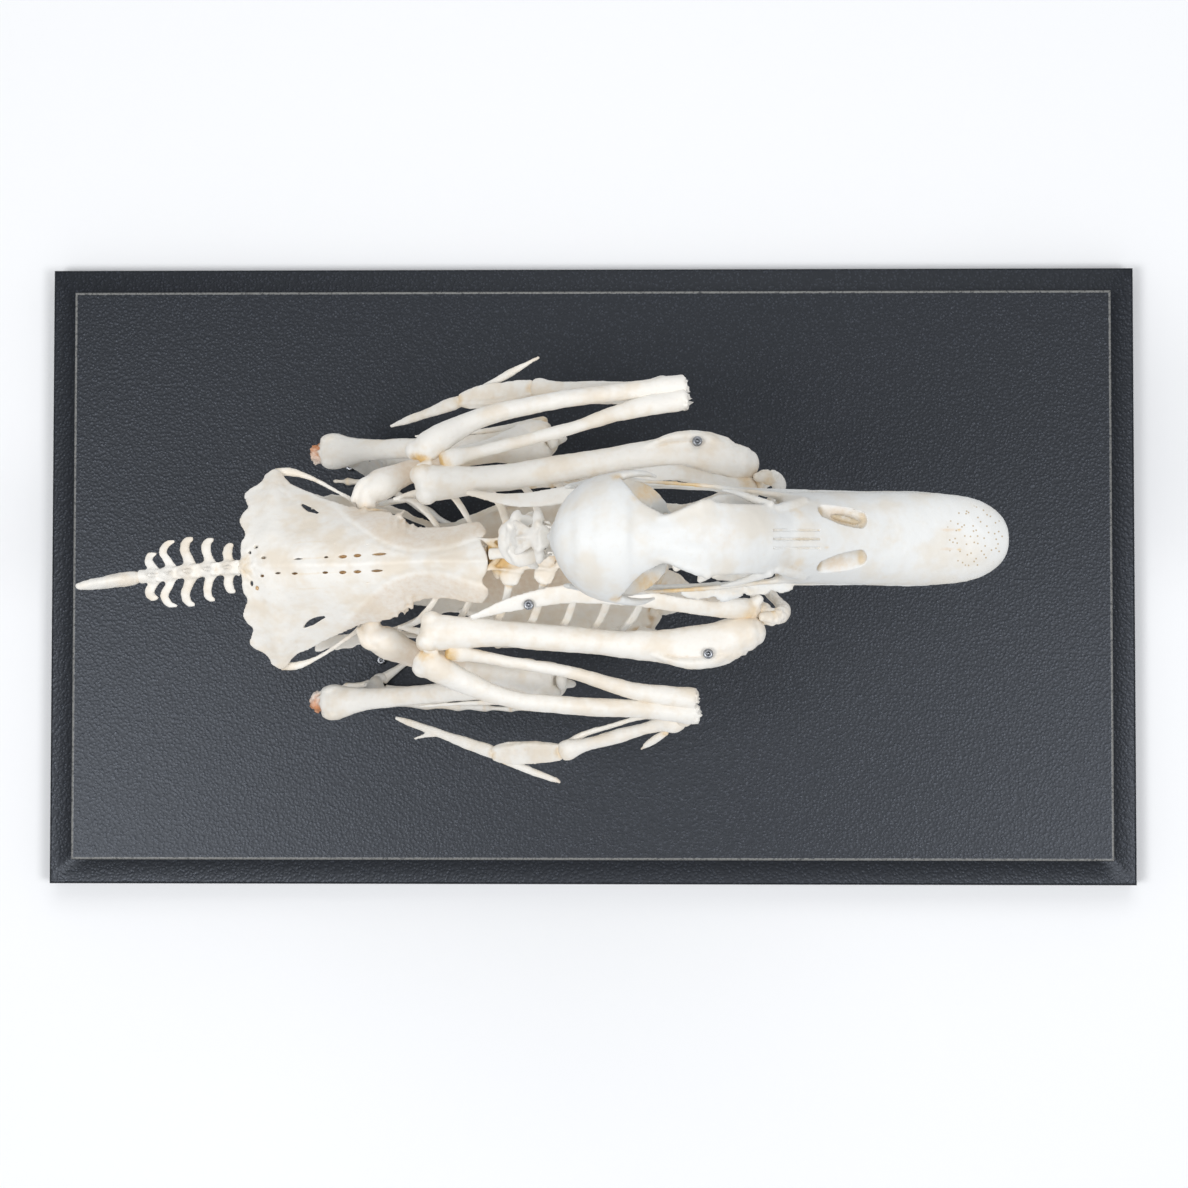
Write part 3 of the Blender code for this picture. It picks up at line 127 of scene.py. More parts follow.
@dataclass
class Surface:
    """A mesh as plain arrays: points (n x 3), the corners of all faces in a row, and each face's corner count."""

    points: np.ndarray
    corners: np.ndarray
    counts: np.ndarray

    def starts(self) -> np.ndarray:
        """Where each face's corners begin in the row."""
        return np.concatenate(([0], np.cumsum(self.counts)[:-1]))

    def spans(self) -> tuple[np.ndarray, np.ndarray, np.ndarray]:
        """For each corner: where its face begins, how many corners that has, and the corner's place among them."""
        start = np.repeat(self.starts(), self.counts)
        return start, np.repeat(self.counts, self.counts), np.arange(len(self.corners)) - start

    def placed(self, turn: Matrix) -> "Surface":
        """The surface moved by a rigid placement."""
        matrix = np.array(turn)
        return Surface(self.points @ matrix[:3, :3].T + matrix[:3, 3], self.corners, self.counts)

    def on(self, side: Side) -> "Surface":
        """The surface on the asked side; the right side is the left one mirrored, with its faces turned back."""
        if side is Side.LEFT:
            return self
        start, count, within = self.spans()
        flipped = self.corners[start + count - 1 - within]
        return Surface(self.points * (1.0, -1.0, 1.0), flipped, self.counts)

    def outward(self) -> "Surface":
        """The closed surface with its faces turned outwards: its signed volume, summed over fans, is made positive."""
        starts = self.starts()
        volume = 0.0
        for size in np.unique(self.counts):
            first = starts[self.counts == size]
            a = self.points[self.corners[first]]
            for step in range(1, size - 1):
                b, c = self.points[self.corners[first + step]], self.points[self.corners[first + step + 1]]
                volume += float(np.einsum("ij,ij->", a, np.cross(b, c)))
        if volume >= 0:
            return self
        return Surface(self.points * (1.0, -1.0, 1.0), self.corners, self.counts).on(Side.RIGHT)


def joined(surfaces: Sequence[Surface]) -> Surface:
    """Several surfaces in one.

    Args:
        surfaces: The closed surfaces.

    Returns:
        One surface of separate shells.
    """
    offsets = np.concatenate(([0], np.cumsum([len(surface.points) for surface in surfaces])[:-1]))
    return Surface(
        np.concatenate([surface.points for surface in surfaces]),
        np.concatenate([surface.corners + offset for surface, offset in zip(surfaces, offsets)]),
        np.concatenate([surface.counts for surface in surfaces]),
    )


def cubic(low: np.ndarray, high: np.ndarray, start: np.ndarray, end: np.ndarray, span: np.ndarray,
        share: np.ndarray) -> np.ndarray:
    """The cubic Hermite run from low to high over a span, with its slopes at the start and end, at a share of it."""
    rest = 1 - share
    return (low * (1 + 2 * share) * rest ** 2 + start * span * share * rest ** 2 + high * (3 - 2 * share) * share ** 2
        - end * span * share ** 2 * rest)


def spline(rows: Rows, count: int) -> np.ndarray:
    """Points on a smooth curve: a cubic Hermite run through the rows, its slopes the mean of the chords beside.

    Args:
        rows: Rows of numbers, the first three of each a place.
        count: How many rows to return.

    Returns:
        count rows, evenly spaced by distance along the run.
    """
    table = np.asarray(rows, float)
    spans = np.maximum(np.linalg.norm(np.diff(table[:, :3], axis=0), axis=1), 1e-6)
    knots = np.concatenate(([0.0], np.cumsum(spans)))
    chords = np.diff(table, axis=0) / spans[:, None]
    slopes = np.empty_like(table)
    slopes[0], slopes[-1] = chords[0], chords[-1]
    before, after = spans[:-1, None], spans[1:, None]
    slopes[1:-1] = (chords[:-1] * after + chords[1:] * before) / (before + after)
    places = np.linspace(0.0, knots[-1], count)
    index = np.clip(np.searchsorted(knots, places, side="right") - 1, 0, len(spans) - 1)
    span = spans[index][:, None]
    share = (places - knots[index])[:, None] / span
    return cubic(table[index], table[index + 1], slopes[index], slopes[index + 1], span, share)


def eased(values: np.ndarray, table: Rows) -> np.ndarray:
    """A two-column table read at many places, along the same smooth cubic run as spline.

    Args:
        values: The places to read.
        table: Rows of (place, value), in any order.

    Returns:
        The value at each place, held level beyond the table's ends.
    """
    rows = np.asarray(sorted(tuple(row) for row in table), float)
    x, y = rows[:, 0], rows[:, 1]
    spans = np.diff(x)
    chords = np.diff(y) / spans
    slopes = np.empty_like(y)
    slopes[0], slopes[-1] = chords[0], chords[-1]
    slopes[1:-1] = np.where(chords[:-1] * chords[1:] > 0, (chords[:-1] * spans[1:] + chords[1:] * spans[:-1])
        / (spans[:-1] + spans[1:]), 0.0)
    places = np.clip(values, x[0], x[-1])
    index = np.clip(np.searchsorted(x, places, side="right") - 1, 0, len(spans) - 1)
    share = (places - x[index]) / spans[index]
    return cubic(y[index], y[index + 1], slopes[index], slopes[index + 1], spans[index], share)


def read(place: float, table: Rows) -> float:
    """One value of a two-column table."""
    return float(eased(np.array([place]), table)[0])


def bell(values: np.ndarray, middle: float, reach: float) -> np.ndarray:
    """A bell curve: 1 at the middle, falling off over the reach."""
    return np.exp(-((values - middle) / reach) ** 2)


def climb(values: np.ndarray, start: float, length: float) -> np.ndarray:
    """A straight rise from 0 at the start to 1 after the length, which is negative where it rises the other way."""
    return np.clip((values - start) / length, 0, 1)


def grain(points: np.ndarray, size: float, seed: int) -> np.ndarray:
    """Smooth random values from -1 to 1: fixed numbers at the corners of a lattice, blended across each cell.

    Args:
        points: Where to read them (n x 3).
        size: The lattice spacing.
        seed: Picks one pattern of many.

    Returns:
        One value for each point.
    """
    scaled = points / size + seed * 17.31
    cell = np.floor(scaled).astype(np.int64)
    share = scaled - cell
    share = share * share * (3 - 2 * share)
    total = np.zeros(len(points))
    for corner in range(8):
        offset = np.array((corner & 1, corner >> 1 & 1, corner >> 2 & 1))
        key = (cell + offset) @ np.array((73856093, 19349663, 83492791)) + seed * 7919
        key = (key ^ (key >> 13)) * 1274126177 & 0xFFFFFFFF
        key ^= key >> 15
        total += ((key & 0xFFFF) / 32767.5 - 1) * np.prod(np.where(offset, share, 1 - share), axis=1)
    return total


def ring_faces(rings: int, sides: int) -> tuple[np.ndarray, np.ndarray]:
    """Corners and counts of the faces of a closed tube of rings, with one flat face at each end.

    Args:
        rings: How many rings.
        sides: How many points each.

    Returns:
        The corners of all faces in a row, and each face's corner count.
    """
    ring = np.arange(rings - 1)[:, None] * sides
    side = np.arange(sides)[None, :]
    beside = (side + 1) % sides
    quads = np.stack((ring + side, ring + beside, ring + sides + beside, ring + sides + side), axis=-1).reshape(-1)
    first, last = np.arange(sides)[::-1], (rings - 1) * sides + np.arange(sides)
    counts = np.concatenate((np.full((rings - 1) * sides, 4), (sides, sides)))
    return np.concatenate((quads, first, last)), counts


def tube(rows: Rows, rings: int = 36, sides: int = 20, up: Place = (0, 0, 1), blunt: float = 0.8,
        square: float = 2.0) -> Surface:
    """A profile carried along a path: superellipses of (x, y, z, half width, half depth) rows, with domed ends.

    Args:
        rows: The path and its half width across and half depth along up.
        rings: How many rings.
        sides: How many points each.
        up: The direction of the depth.
        blunt: How far the domes stand out, as a share of the smaller half size; 0 leaves flat ends.
        square: The superellipse's power; 2 is an ellipse.

    Returns:
        The closed surface.
    """
    stations = spline(rows, rings)
    centres = stations[:, :3]
    sizes = np.maximum(stations[:, 3:5], 0.12)
    along = np.gradient(centres, axis=0)
    along /= np.linalg.norm(along, axis=1, keepdims=True)
    across = np.cross(np.asarray(up, float), along)
    across /= np.maximum(np.linalg.norm(across, axis=1, keepdims=True), 1e-9)
    above = np.cross(along, across)
    if blunt > 0:
        angles = np.linspace(0.0, 1.45, 6)[1:]
        for end, order in ((0, slice(None, None, -1)), (-1, slice(None))):
            reach = (np.sin(angles) * sizes[end].min() * blunt * (-1 if end == 0 else 1))[order, None]
            caps = (centres[end] + along[end] * reach, sizes[end] * np.cos(angles)[order, None],
                np.repeat(across[end][None], 5, axis=0), np.repeat(above[end][None], 5, axis=0))
            parts = [(cap, old) if end == 0 else (old, cap) for cap, old in zip(caps, (centres, sizes, across, above))]
            centres, sizes, across, above = (np.concatenate(pair) for pair in parts)
            along = np.concatenate((along[:1].repeat(5, axis=0), along) if end == 0
                else (along, along[-1:].repeat(5, axis=0)))
    turn = 2 * np.pi * np.arange(sides) / sides
    cosine = np.sign(np.cos(turn)) * np.abs(np.cos(turn)) ** (2 / square)
    sine = np.sign(np.sin(turn)) * np.abs(np.sin(turn)) ** (2 / square)
    points = (centres[:, None] + across[:, None] * (sizes[:, :1] * cosine)[..., None] + above[:, None]
        * (sizes[:, 1:] * sine)[..., None])
    corners, counts = ring_faces(len(centres), sides)
    return Surface(points.reshape(-1, 3), corners, counts).outward()


def blob(centre: Place, radii: Place, turn: Euler | None = None, rings: int = 16, sides: int = 20) -> Surface:
    """An ellipsoid: latitude rings from pole to pole.

    Args:
        centre: Its middle.
        radii: Its half sizes along x, y and z before it is turned.
        turn: How it is turned, or None.
        rings: How many rings.
        sides: How many points each.

    Returns:
        The closed surface.
    """
    height = np.linspace(-math.pi / 2 + 0.06, math.pi / 2 - 0.06, rings)[:, None]
    angle = (2 * np.pi * np.arange(sides) / sides)[None, :]
    points = np.stack((np.sin(height) + 0 * angle, np.cos(height) * np.cos(angle), np.cos(height) * np.sin(angle)), -1)
    points = points.reshape(-1, 3) * radii
    if turn is not None:
        points = points @ np.array(turn.to_matrix()).T
    corners, counts = ring_faces(rings, sides)
    return Surface(points + centre, corners, counts).outward()


def sheet(face: Shape, back: Shape, rows: int, columns: int) -> Surface:
    """A closed plate between two surfaces of two parameters, joined round their rim.

    Args:
        face: Maps arrays of two shares, each 0 to 1, to points (... x 3).
        back: The other surface, over the same shares.
        rows: How many points along the first.
        columns: How many points along the second.

    Returns:
        The closed surface.
    """
    u, v = np.meshgrid(np.linspace(0, 1, rows), np.linspace(0, 1, columns), indexing="ij")
    points = np.concatenate([np.stack(np.broadcast_arrays(*shape(u, v)), -1).reshape(-1, 3) for shape in (face, back)])
    index = np.arange(rows * columns).reshape(rows, columns)
    near = np.stack((index[:-1, :-1], index[:-1, 1:], index[1:, 1:], index[1:, :-1]), -1).reshape(-1, 4)
    rim = np.concatenate((index[0], index[1:, -1], index[-1, -2::-1], index[-2:0:-1, 0]))
    after = np.roll(rim, -1)
    edge = np.stack((after, rim, rim + rows * columns, after + rows * columns), -1)
    quads = np.concatenate((near, near[:, ::-1] + rows * columns, edge))
    return Surface(points, quads.reshape(-1), np.full(len(quads), 4)).outward()


def tuned(thing: object, **settings: object) -> object:
    """A thing of Blender's with some of its properties set."""
    for name, value in settings.items():
        setattr(thing, name, value)
    return thing


def linked(name: str, data: bpy.types.ID) -> bpy.types.Object:
    """A new object in the scene that holds the data."""
    made = bpy.data.objects.new(name, data)
    bpy.context.scene.collection.objects.link(made)
    return made


def fetched(items: Sequence[object], name: str, width: int = 1, kind: type = np.int32) -> np.ndarray:
    """One property of all of a mesh's points, corners or faces, in one row."""
    values = np.empty(len(items) * width, kind)
    items.foreach_get(name, values)
    return values


def mesh_of(surface: Surface, name: str) -> bpy.types.Mesh:
    """The surface as Blender mesh data, in metres.

    Args:
        surface: The surface, in millimetres.
        name: The mesh's name.

    Returns:
        The mesh data.
    """
    data = bpy.data.meshes.new(name)
    data.vertices.add(len(surface.points))
    data.vertices.foreach_set("co", (surface.points * MM).astype(np.float32).reshape(-1))
    data.loops.add(len(surface.corners))
    data.loops.foreach_set("vertex_index", surface.corners.astype(np.int32))
    data.polygons.add(len(surface.counts))
    data.polygons.foreach_set("loop_start", surface.starts().astype(np.int32))
    data.update(calc_edges=True)
    return data


def surface_of(data: bpy.types.Mesh) -> Surface:
    """The arrays of mesh data, in millimetres."""
    points = fetched(data.vertices, "co", 3, np.float32).reshape(-1, 3).astype(float) / MM
    return Surface(points, fetched(data.loops, "vertex_index"), fetched(data.polygons, "loop_total"))


def melted(surfaces: Sequence[Surface], voxel: float, cuts: Sequence[Surface] = (), smooth: int = 2) -> Surface:
    """Overlapping closed surfaces made one skin by a voxel remesh, cut by others, and smoothed.

    Args:
        surfaces: The closed surfaces to unite.
        voxel: The remesh's cell size.
        cuts: Closed surfaces taken away after the union.
        smooth: How many times the skin is smoothed.

    Returns:
        The united skin.
    """
    helpers = [linked("helper", mesh_of(joined(surfaces), "helper"))]
    steps = helpers[0].modifiers
    tuned(steps.new("remesh", "REMESH"), mode="VOXEL", voxel_size=voxel * MM)
    if cuts:
        helpers.append(linked("knife", mesh_of(joined(cuts), "knife")))
        tuned(steps.new("cut", "BOOLEAN"), operation="DIFFERENCE", solver="MANIFOLD", object=helpers[1])
    tuned(steps.new("smooth", "SMOOTH"), factor=0.5, iterations=smooth)
    graph = bpy.context.evaluated_depsgraph_get()
    data = bpy.data.meshes.new_from_object(helpers[0].evaluated_get(graph))
    result = surface_of(data)
    spares = [data] + [helper.data for helper in helpers]
    for helper in helpers:
        bpy.data.objects.remove(helper, do_unlink=True)
    for spare in spares:
        bpy.data.meshes.remove(spare)
    return result


def edges_of(surface: Surface) -> np.ndarray:
    """Each face side of the surface as a pair of point numbers (n x 2)."""
    start, count, within = surface.spans()
    following = surface.corners[start + (within + 1) % count]
    return np.stack((surface.corners, following), axis=1)


def averaged(values: np.ndarray, edges: np.ndarray, times: int) -> np.ndarray:
    """Values spread over the mesh: each point takes the mean of its neighbours, several times over.

    Args:
        values: One row of numbers for each point.
        edges: Pairs of point numbers.
        times: How often it is done.

    Returns:
        The spread values.
    """
    count = len(values)
    weight = np.maximum(np.bincount(edges[:, 0], minlength=count), 1)[:, None]
    for _ in range(times):
        values = np.stack([np.bincount(edges[:, 0], values[edges[:, 1], axis], count)
            for axis in range(values.shape[1])], axis=1) / weight
    return values


def normals_of(surface: Surface) -> np.ndarray:
    """Each point's outward direction, from Blender's own vertex normals."""
    data = mesh_of(surface, "normals")
    result = fetched(data.vertex_normals, "vector", 3, np.float32)
    bpy.data.meshes.remove(data)
    return result.reshape(-1, 3).astype(float)


def nearness(points: np.ndarray, place: Place, radius: Place | float) -> np.ndarray:
    """How near points lie to a place: 1 there, falling smoothly to 0 at the radius.

    Args:
        points: The points (n x 3).
        place: The middle.
        radius: The reach, one number or one for each axis.

    Returns:
        One value for each point.
    """
    away = np.clip(np.linalg.norm((points - place) / radius, axis=1), 0, 1)
    return (1 - away * away) ** 2


def linear(colour: str) -> tuple[float, float, float, float]:
    """An sRGB hex colour as linear numbers.

    Args:
        colour: Six hex digits after a hash sign.

    Returns:
        Red, green, blue and a full alpha.
    """
    shares = [int(colour[start:start + 2], 16) / 255 for start in (1, 3, 5)]
    red, green, blue = (share / 12.92 if share <= 0.04045 else ((share + 0.055) / 1.055) ** 2.4 for share in shares)
    return red, green, blue, 1.0


def feed(tree: bpy.types.NodeTree, node: bpy.types.Node, inputs: dict[str, object]) -> None:
    """Gives inputs of a node their values.

    Args:
        tree: The node tree.
        node: The node.
        inputs: Sockets by name (an underscore for a space, or _n for the n-th socket), each with a value or with the
            output socket that feeds it.
    """
    for name, value in inputs.items():
        socket = node.inputs[int(name[1:])] if name[0] == "_" else node.inputs[name.replace("_", " ")]
        if isinstance(value, Socket):
            tree.links.new(value, socket)
        else:
            socket.default_value = value


def add_node(tree: bpy.types.NodeTree, kind: str, settings: dict[str, object] | None = None,
        **inputs: object) -> bpy.types.Node:
    """Adds one shader node.

    Args:
        tree: The node tree.
        kind: The node's type name, without its leading word Shader.
        settings: Properties of the node and what they are set to.
        inputs: What its sockets get, named as feed wants them.

    Returns:
        The new node.
    """
    node = tuned(tree.nodes.new("Shader" + kind), **(settings or {}))
    feed(tree, node, inputs)
    return node


class Finish:
    """A material in the making, and the steps that its patterns are put together from."""

    def __init__(self, name: str) -> None:
        """Starts the material with its shader and the place of each point on the object."""
        self.material = bpy.data.materials.new(name)
        self.material.use_nodes = True
        self.tree = self.material.node_tree
        self.where = add_node(self.tree, "NodeTexCoord").outputs["Object"]

    def noise(self, size_mm: float, detail: float = 2.0, rough: float = 0.5, kind: str = "Fac") -> Socket:
        """Smooth random values, or colours, with a grain of this size."""
        return add_node(self.tree, "NodeTexNoise", Vector=self.where, Scale=1 / (size_mm * MM), Detail=detail,
            Roughness=rough).outputs[kind]

    def cells(self, size_mm: float, settings: dict[str, object], **inputs: object) -> Socket:
        """How far each point lies from the middle of its cell, for cells of this size."""
        return add_node(self.tree, "NodeTexVoronoi", settings, Scale=1 / (size_mm * MM), **inputs).outputs["Distance"]

    def carried(self, name: str) -> Socket:
        """A value that the mesh carries at each point."""
        return add_node(self.tree, "NodeAttribute", {"attribute_name": name}).outputs["Fac"]

    def times(self, value: object, by: object, more: object = 0.0) -> Socket:
        """A value times a second, with a third added."""
        return add_node(self.tree, "NodeMath", {"operation": "MULTIPLY_ADD"}, _0=value, _1=by, _2=more).outputs[0]

    def ramp(self, value: object, low: float = 0.0, high: float = 1.0, start: float = 0.0, end: float = 1.0,
            shape: str = "LINEAR") -> Socket:
        """A value carried from the range low to high onto start to end, and held level beyond."""
        return add_node(self.tree, "NodeMapRange", {"interpolation_type": shape}, Value=value, From_Min=low,
            From_Max=high, To_Min=start, To_Max=end).outputs["Result"]

    def step(self, value: object, low: float, high: float) -> Socket:
        """A share that rises smoothly from 0 at low to 1 at high."""
        return self.ramp(value, low, high, shape="SMOOTHSTEP")

    def mixed(self, share: object, first: object, second: object) -> Socket:
        """A colour between two."""
        return add_node(self.tree, "NodeMix", {"data_type": "RGBA"}, _0=share, _6=first, _7=second).outputs[2]

    def bump(self, height: object, strength: float, depth_mm: float) -> Socket:
        """The surface's direction, bent by a pattern of heights."""
        return add_node(self.tree, "NodeBump", Strength=strength, Distance=depth_mm * MM,
            Height=height).outputs["Normal"]

    def dressed(self, **inputs: object) -> bpy.types.Material:
        """The finished material, with what its shader's inputs get."""
        feed(self.tree, self.tree.nodes["Principled BSDF"], inputs)
        return self.material


@dataclass(frozen=True)
class BleachedBone:
    """Degreased and peroxide-bleached bone: chalky white with cream clouds, a dull porous skin and few bright spots.

    Amber is dried gristle and glue, blush is partly fat that came back through the bone and partly painted shade.
    """

    name: str
    white: str
    cream: str
    shade: str
    blush: str = "#DCC8B0"
    amber: str = "#DBB87C"
    sponge: str = "#D08F63"
    dark: str = "#33251A"
    pinhole: str = "#BBA88C"
    cloud_mm: float = 11.0
    fine_mm: float = 1.6
    pore_mm: float = 0.55
    pinhole_mm: float = 2.0
    ior: float = 1.5

    def make(self) -> bpy.types.Material:
        """Builds the material's nodes."""
        made = Finish(self.name)
        cream = linear(self.cream)
        fine = made.noise(self.fine_mm, 2.0, 0.6)
        speckled = made.times(fine, 0.9, 0.55)
        colour = made.mixed(made.step(made.noise(self.cloud_mm, 3.0, 0.6), 0.42, 0.68), linear(self.white), cream)
        colour = made.mixed(made.times(made.step(fine, 0.5, 0.8), 0.35), colour, cream)
        for tint, tone, low, high in ((Tint.BLUSH, self.blush, 0.15, 1.0), (Tint.HOLLOW, self.shade, 0.1, 0.9),
                (Tint.AMBER, self.amber, 0.12, 0.75), (Tint.SPONGE, self.sponge, 0.1, 0.6),
                (Tint.DARK, self.dark, 0.25, 0.6)):
            value = made.carried(tint.value)
            if tint is not Tint.DARK:
                value = made.times(value, speckled)
            colour = made.mixed(made.step(value, low, high), colour, linear(tone))
        # The nerve holes of the bill tip are dots of painted shade; the mesh is not pricked.
        pricks = made.cells(self.pinhole_mm, {"voronoi_dimensions": "2D"}, Vector=made.where, Randomness=0.85)
        pricked = made.times(made.ramp(pricks, 0.15, 0.09), made.step(made.carried(Tint.PINHOLE.value), 0.12, 0.3))
        pores = made.times(made.noise(self.pore_mm, 1.0), 0.5, fine)
        return made.dressed(Base_Color=made.mixed(pricked, colour, linear(self.pinhole)), IOR=self.ior,
            Roughness=made.ramp(fine, start=0.42, end=0.62), Normal=made.bump(pores, 0.35, 0.12))


@dataclass(frozen=True)
class PebbledBoard:
    """Textured powder paint on fibreboard: near black, pebbled like leather, half matt so only humps catch light; their
    lighter colour is a painted highlight, the pits' deeper colour painted shade.
    """

    name: str = "pebbled_black_paint"
    pit: str = "#101216"
    hump: str = "#2D3037"
    worn: str = "#8F8E8A"
    sheen: str = "#DAE1EC"
    pebble_mm: float = 0.95
    bend_mm: float = 2.2
    patch_mm: float = 0.8
    ior: float = 1.5

    def make(self) -> bpy.types.Material:
        """Builds the material's nodes."""
        made = Finish(self.name)
        bent = add_node(made.tree, "NodeVectorMath", {"operation": "MULTIPLY_ADD"}, _1=(0.7 * MM,) * 3, _2=made.where,
            _0=made.noise(self.bend_mm, 1.0, kind="Color"))
        pebbles = made.cells(self.pebble_mm, {"feature": "SMOOTH_F1"}, Vector=bent.outputs[0], Smoothness=0.5)
        patches = made.noise(self.patch_mm, 2.0, 0.65)
        level = made.times(made.ramp(pebbles, 0.05, 0.75, 1.0, 0.0), patches)
        # Painted highlight and shade: raised pebbles get the lighter colour, pits the deeper one.
        colour = made.mixed(made.step(level, 0.2, 0.55), linear(self.pit), linear(self.hump))
        # A pale line is painted along the upper rim of the board.
        bare = made.ramp(made.times(made.carried("worn"), patches), 0.22, 0.5, end=0.8)
        return made.dressed(Base_Color=made.mixed(bare, colour, linear(self.worn)), IOR=self.ior,
            Specular_Tint=linear(self.sheen), Roughness=made.ramp(level, start=0.4, end=0.24),
            Normal=made.bump(level, 1.0, 0.1))


@dataclass(frozen=True)
class PinSteel:
    """Turned bright steel, a little brushed: mirror-like with fine rings of wear."""

    name: str = "turned_steel"
    tone: str = "#96989C"
    scratch_mm: float = 0.4

    def make(self) -> bpy.types.Material:
        """Builds the material's nodes."""
        made = Finish(self.name)
        return made.dressed(Base_Color=linear(self.tone), Metallic=1.0,
            Roughness=made.ramp(made.noise(self.scratch_mm), start=0.16, end=0.42))


@dataclass(frozen=True)
class PlainFloor:
    """A sheet of matt white studio paper."""

    name: str = "white_paper"
    tone: str = "#FAFAFA"
    tooth_mm: float = 1.5

    def make(self) -> bpy.types.Material:
        """Builds the material's nodes."""
        made = Finish(self.name)
        return made.dressed(Base_Color=linear(self.tone), Roughness=0.9,
            Normal=made.bump(made.noise(self.tooth_mm), 0.05, 0.05))


TRUNK = Matrix.Rotation(math.radians(2.2), 4, "Z")
HEAD = Matrix.LocRotScale(Vector((-4.7, -1.3, 260.0)), Euler((math.radians(4.5), math.radians(8), 0.0)), None)


@dataclass
class Workshop:
    """Turns finished surfaces into pieces of the scene: places, roughens, tints and dresses them."""

    bone: bpy.types.Material
    skull: bpy.types.Material
    steel: bpy.types.Material
    relief: Rows = ((7.0, 1.6), (2.6, 0.9), (1.1, 0.45))
    hollow_gain: float = 2.4
    made: int = 0
    triangles: int = 0

    def bone_piece(self, node: str, surface: Surface, marks: Sequence[Mark] = (), crumbles: Sequence[Crumble] = (),
            place: Matrix = TRUNK, rough: float = 0.1, finish: bpy.types.Material | None = None,
            blush: np.ndarray | float = 0.0) -> bpy.types.Object:
        """Makes one bone stand for its CAD node.

        Points are pushed along their normals by smooth random values of the relief's grains.
        The hollow tint, painted shade in creases and hollows, is how far the much smoothed skin lies outside the true
        one.

        Args:
            node: The CAD node's name.
            surface: The bone's skin in its own frame.
            marks: Its tinted patches.
            crumbles: Its rough patches.
            place: Where its frame stands.
            rough: Height of its relief.
            finish: The material, or None for the bone's.
            blush: A pinkish tint for each point, besides the marks, partly fat stain and partly painted shade.

        Returns:
            The new object.
        """
        seed = sum(map(ord, node)) % 97
        points = surface.points
        normal = normals_of(surface)
        push = rough * sum(share * grain(points, size, seed + turn) for turn, (size, share) in enumerate(self.relief))
        for crumble in crumbles:
            near = nearness(points, crumble.place, crumble.radius)
            crumbs = grain(points, crumble.grain, seed + 3) + 0.7 * grain(points, crumble.grain * 0.5, seed + 4)
            push = push + near * crumble.height * crumbs
        shaped = Surface(points + normal * push[:, None], surface.corners, surface.counts)
        edges = edges_of(shaped)
        # Painted shade: creases and hollows lean towards the shade colour by how deep they lie.
        calm = averaged(shaped.points, edges, 10)
        hollow = np.einsum("ij,ij->i", calm - shaped.points, normal)
        hollow = averaged(hollow[:, None], edges, 2)[:, 0] * self.hollow_gain
        values = {tint: np.zeros(len(points)) for tint in Tint}
        values[Tint.HOLLOW] = np.clip(hollow, 0, 1)
        values[Tint.BLUSH] += blush
        for mark in marks:
            patch = nearness(points, mark.place, mark.radius) * mark.strength
            values[mark.tint] = np.maximum(values[mark.tint], patch)
        data = mesh_of(shaped.placed(place), f"fine_{node}")
        for tint, value in values.items():
            data.attributes.new(tint.value, "FLOAT", "POINT").data.foreach_set("value", value.astype(np.float32))
        data.shade_smooth()
        return self.piece(f"fine_{node}", data, finish or self.bone, "bone", node)

    def piece(self, name: str, data: bpy.types.Mesh, finish: bpy.types.Material, slot: str,
            *replaced: str) -> bpy.types.Object:
        """Puts mesh data in the scene as a piece that rides on the stand.

        Args:
            name: The piece's name.
            data: Its mesh, already in place.
            finish: Its material.
            slot: Not used.
            replaced: The CAD nodes it stands for.

        Returns:
            The new object.
        """
        data.materials.append(finish)
        made = linked(name, data)
        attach(made, "root")
        if replaced:
            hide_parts(*replaced)
        triangles = int((fetched(data.polygons, "loop_total") - 2).sum())
        self.made += 1
        self.triangles += triangles
        LOG.info("%-28s %7d triangles", name, triangles)
        return made


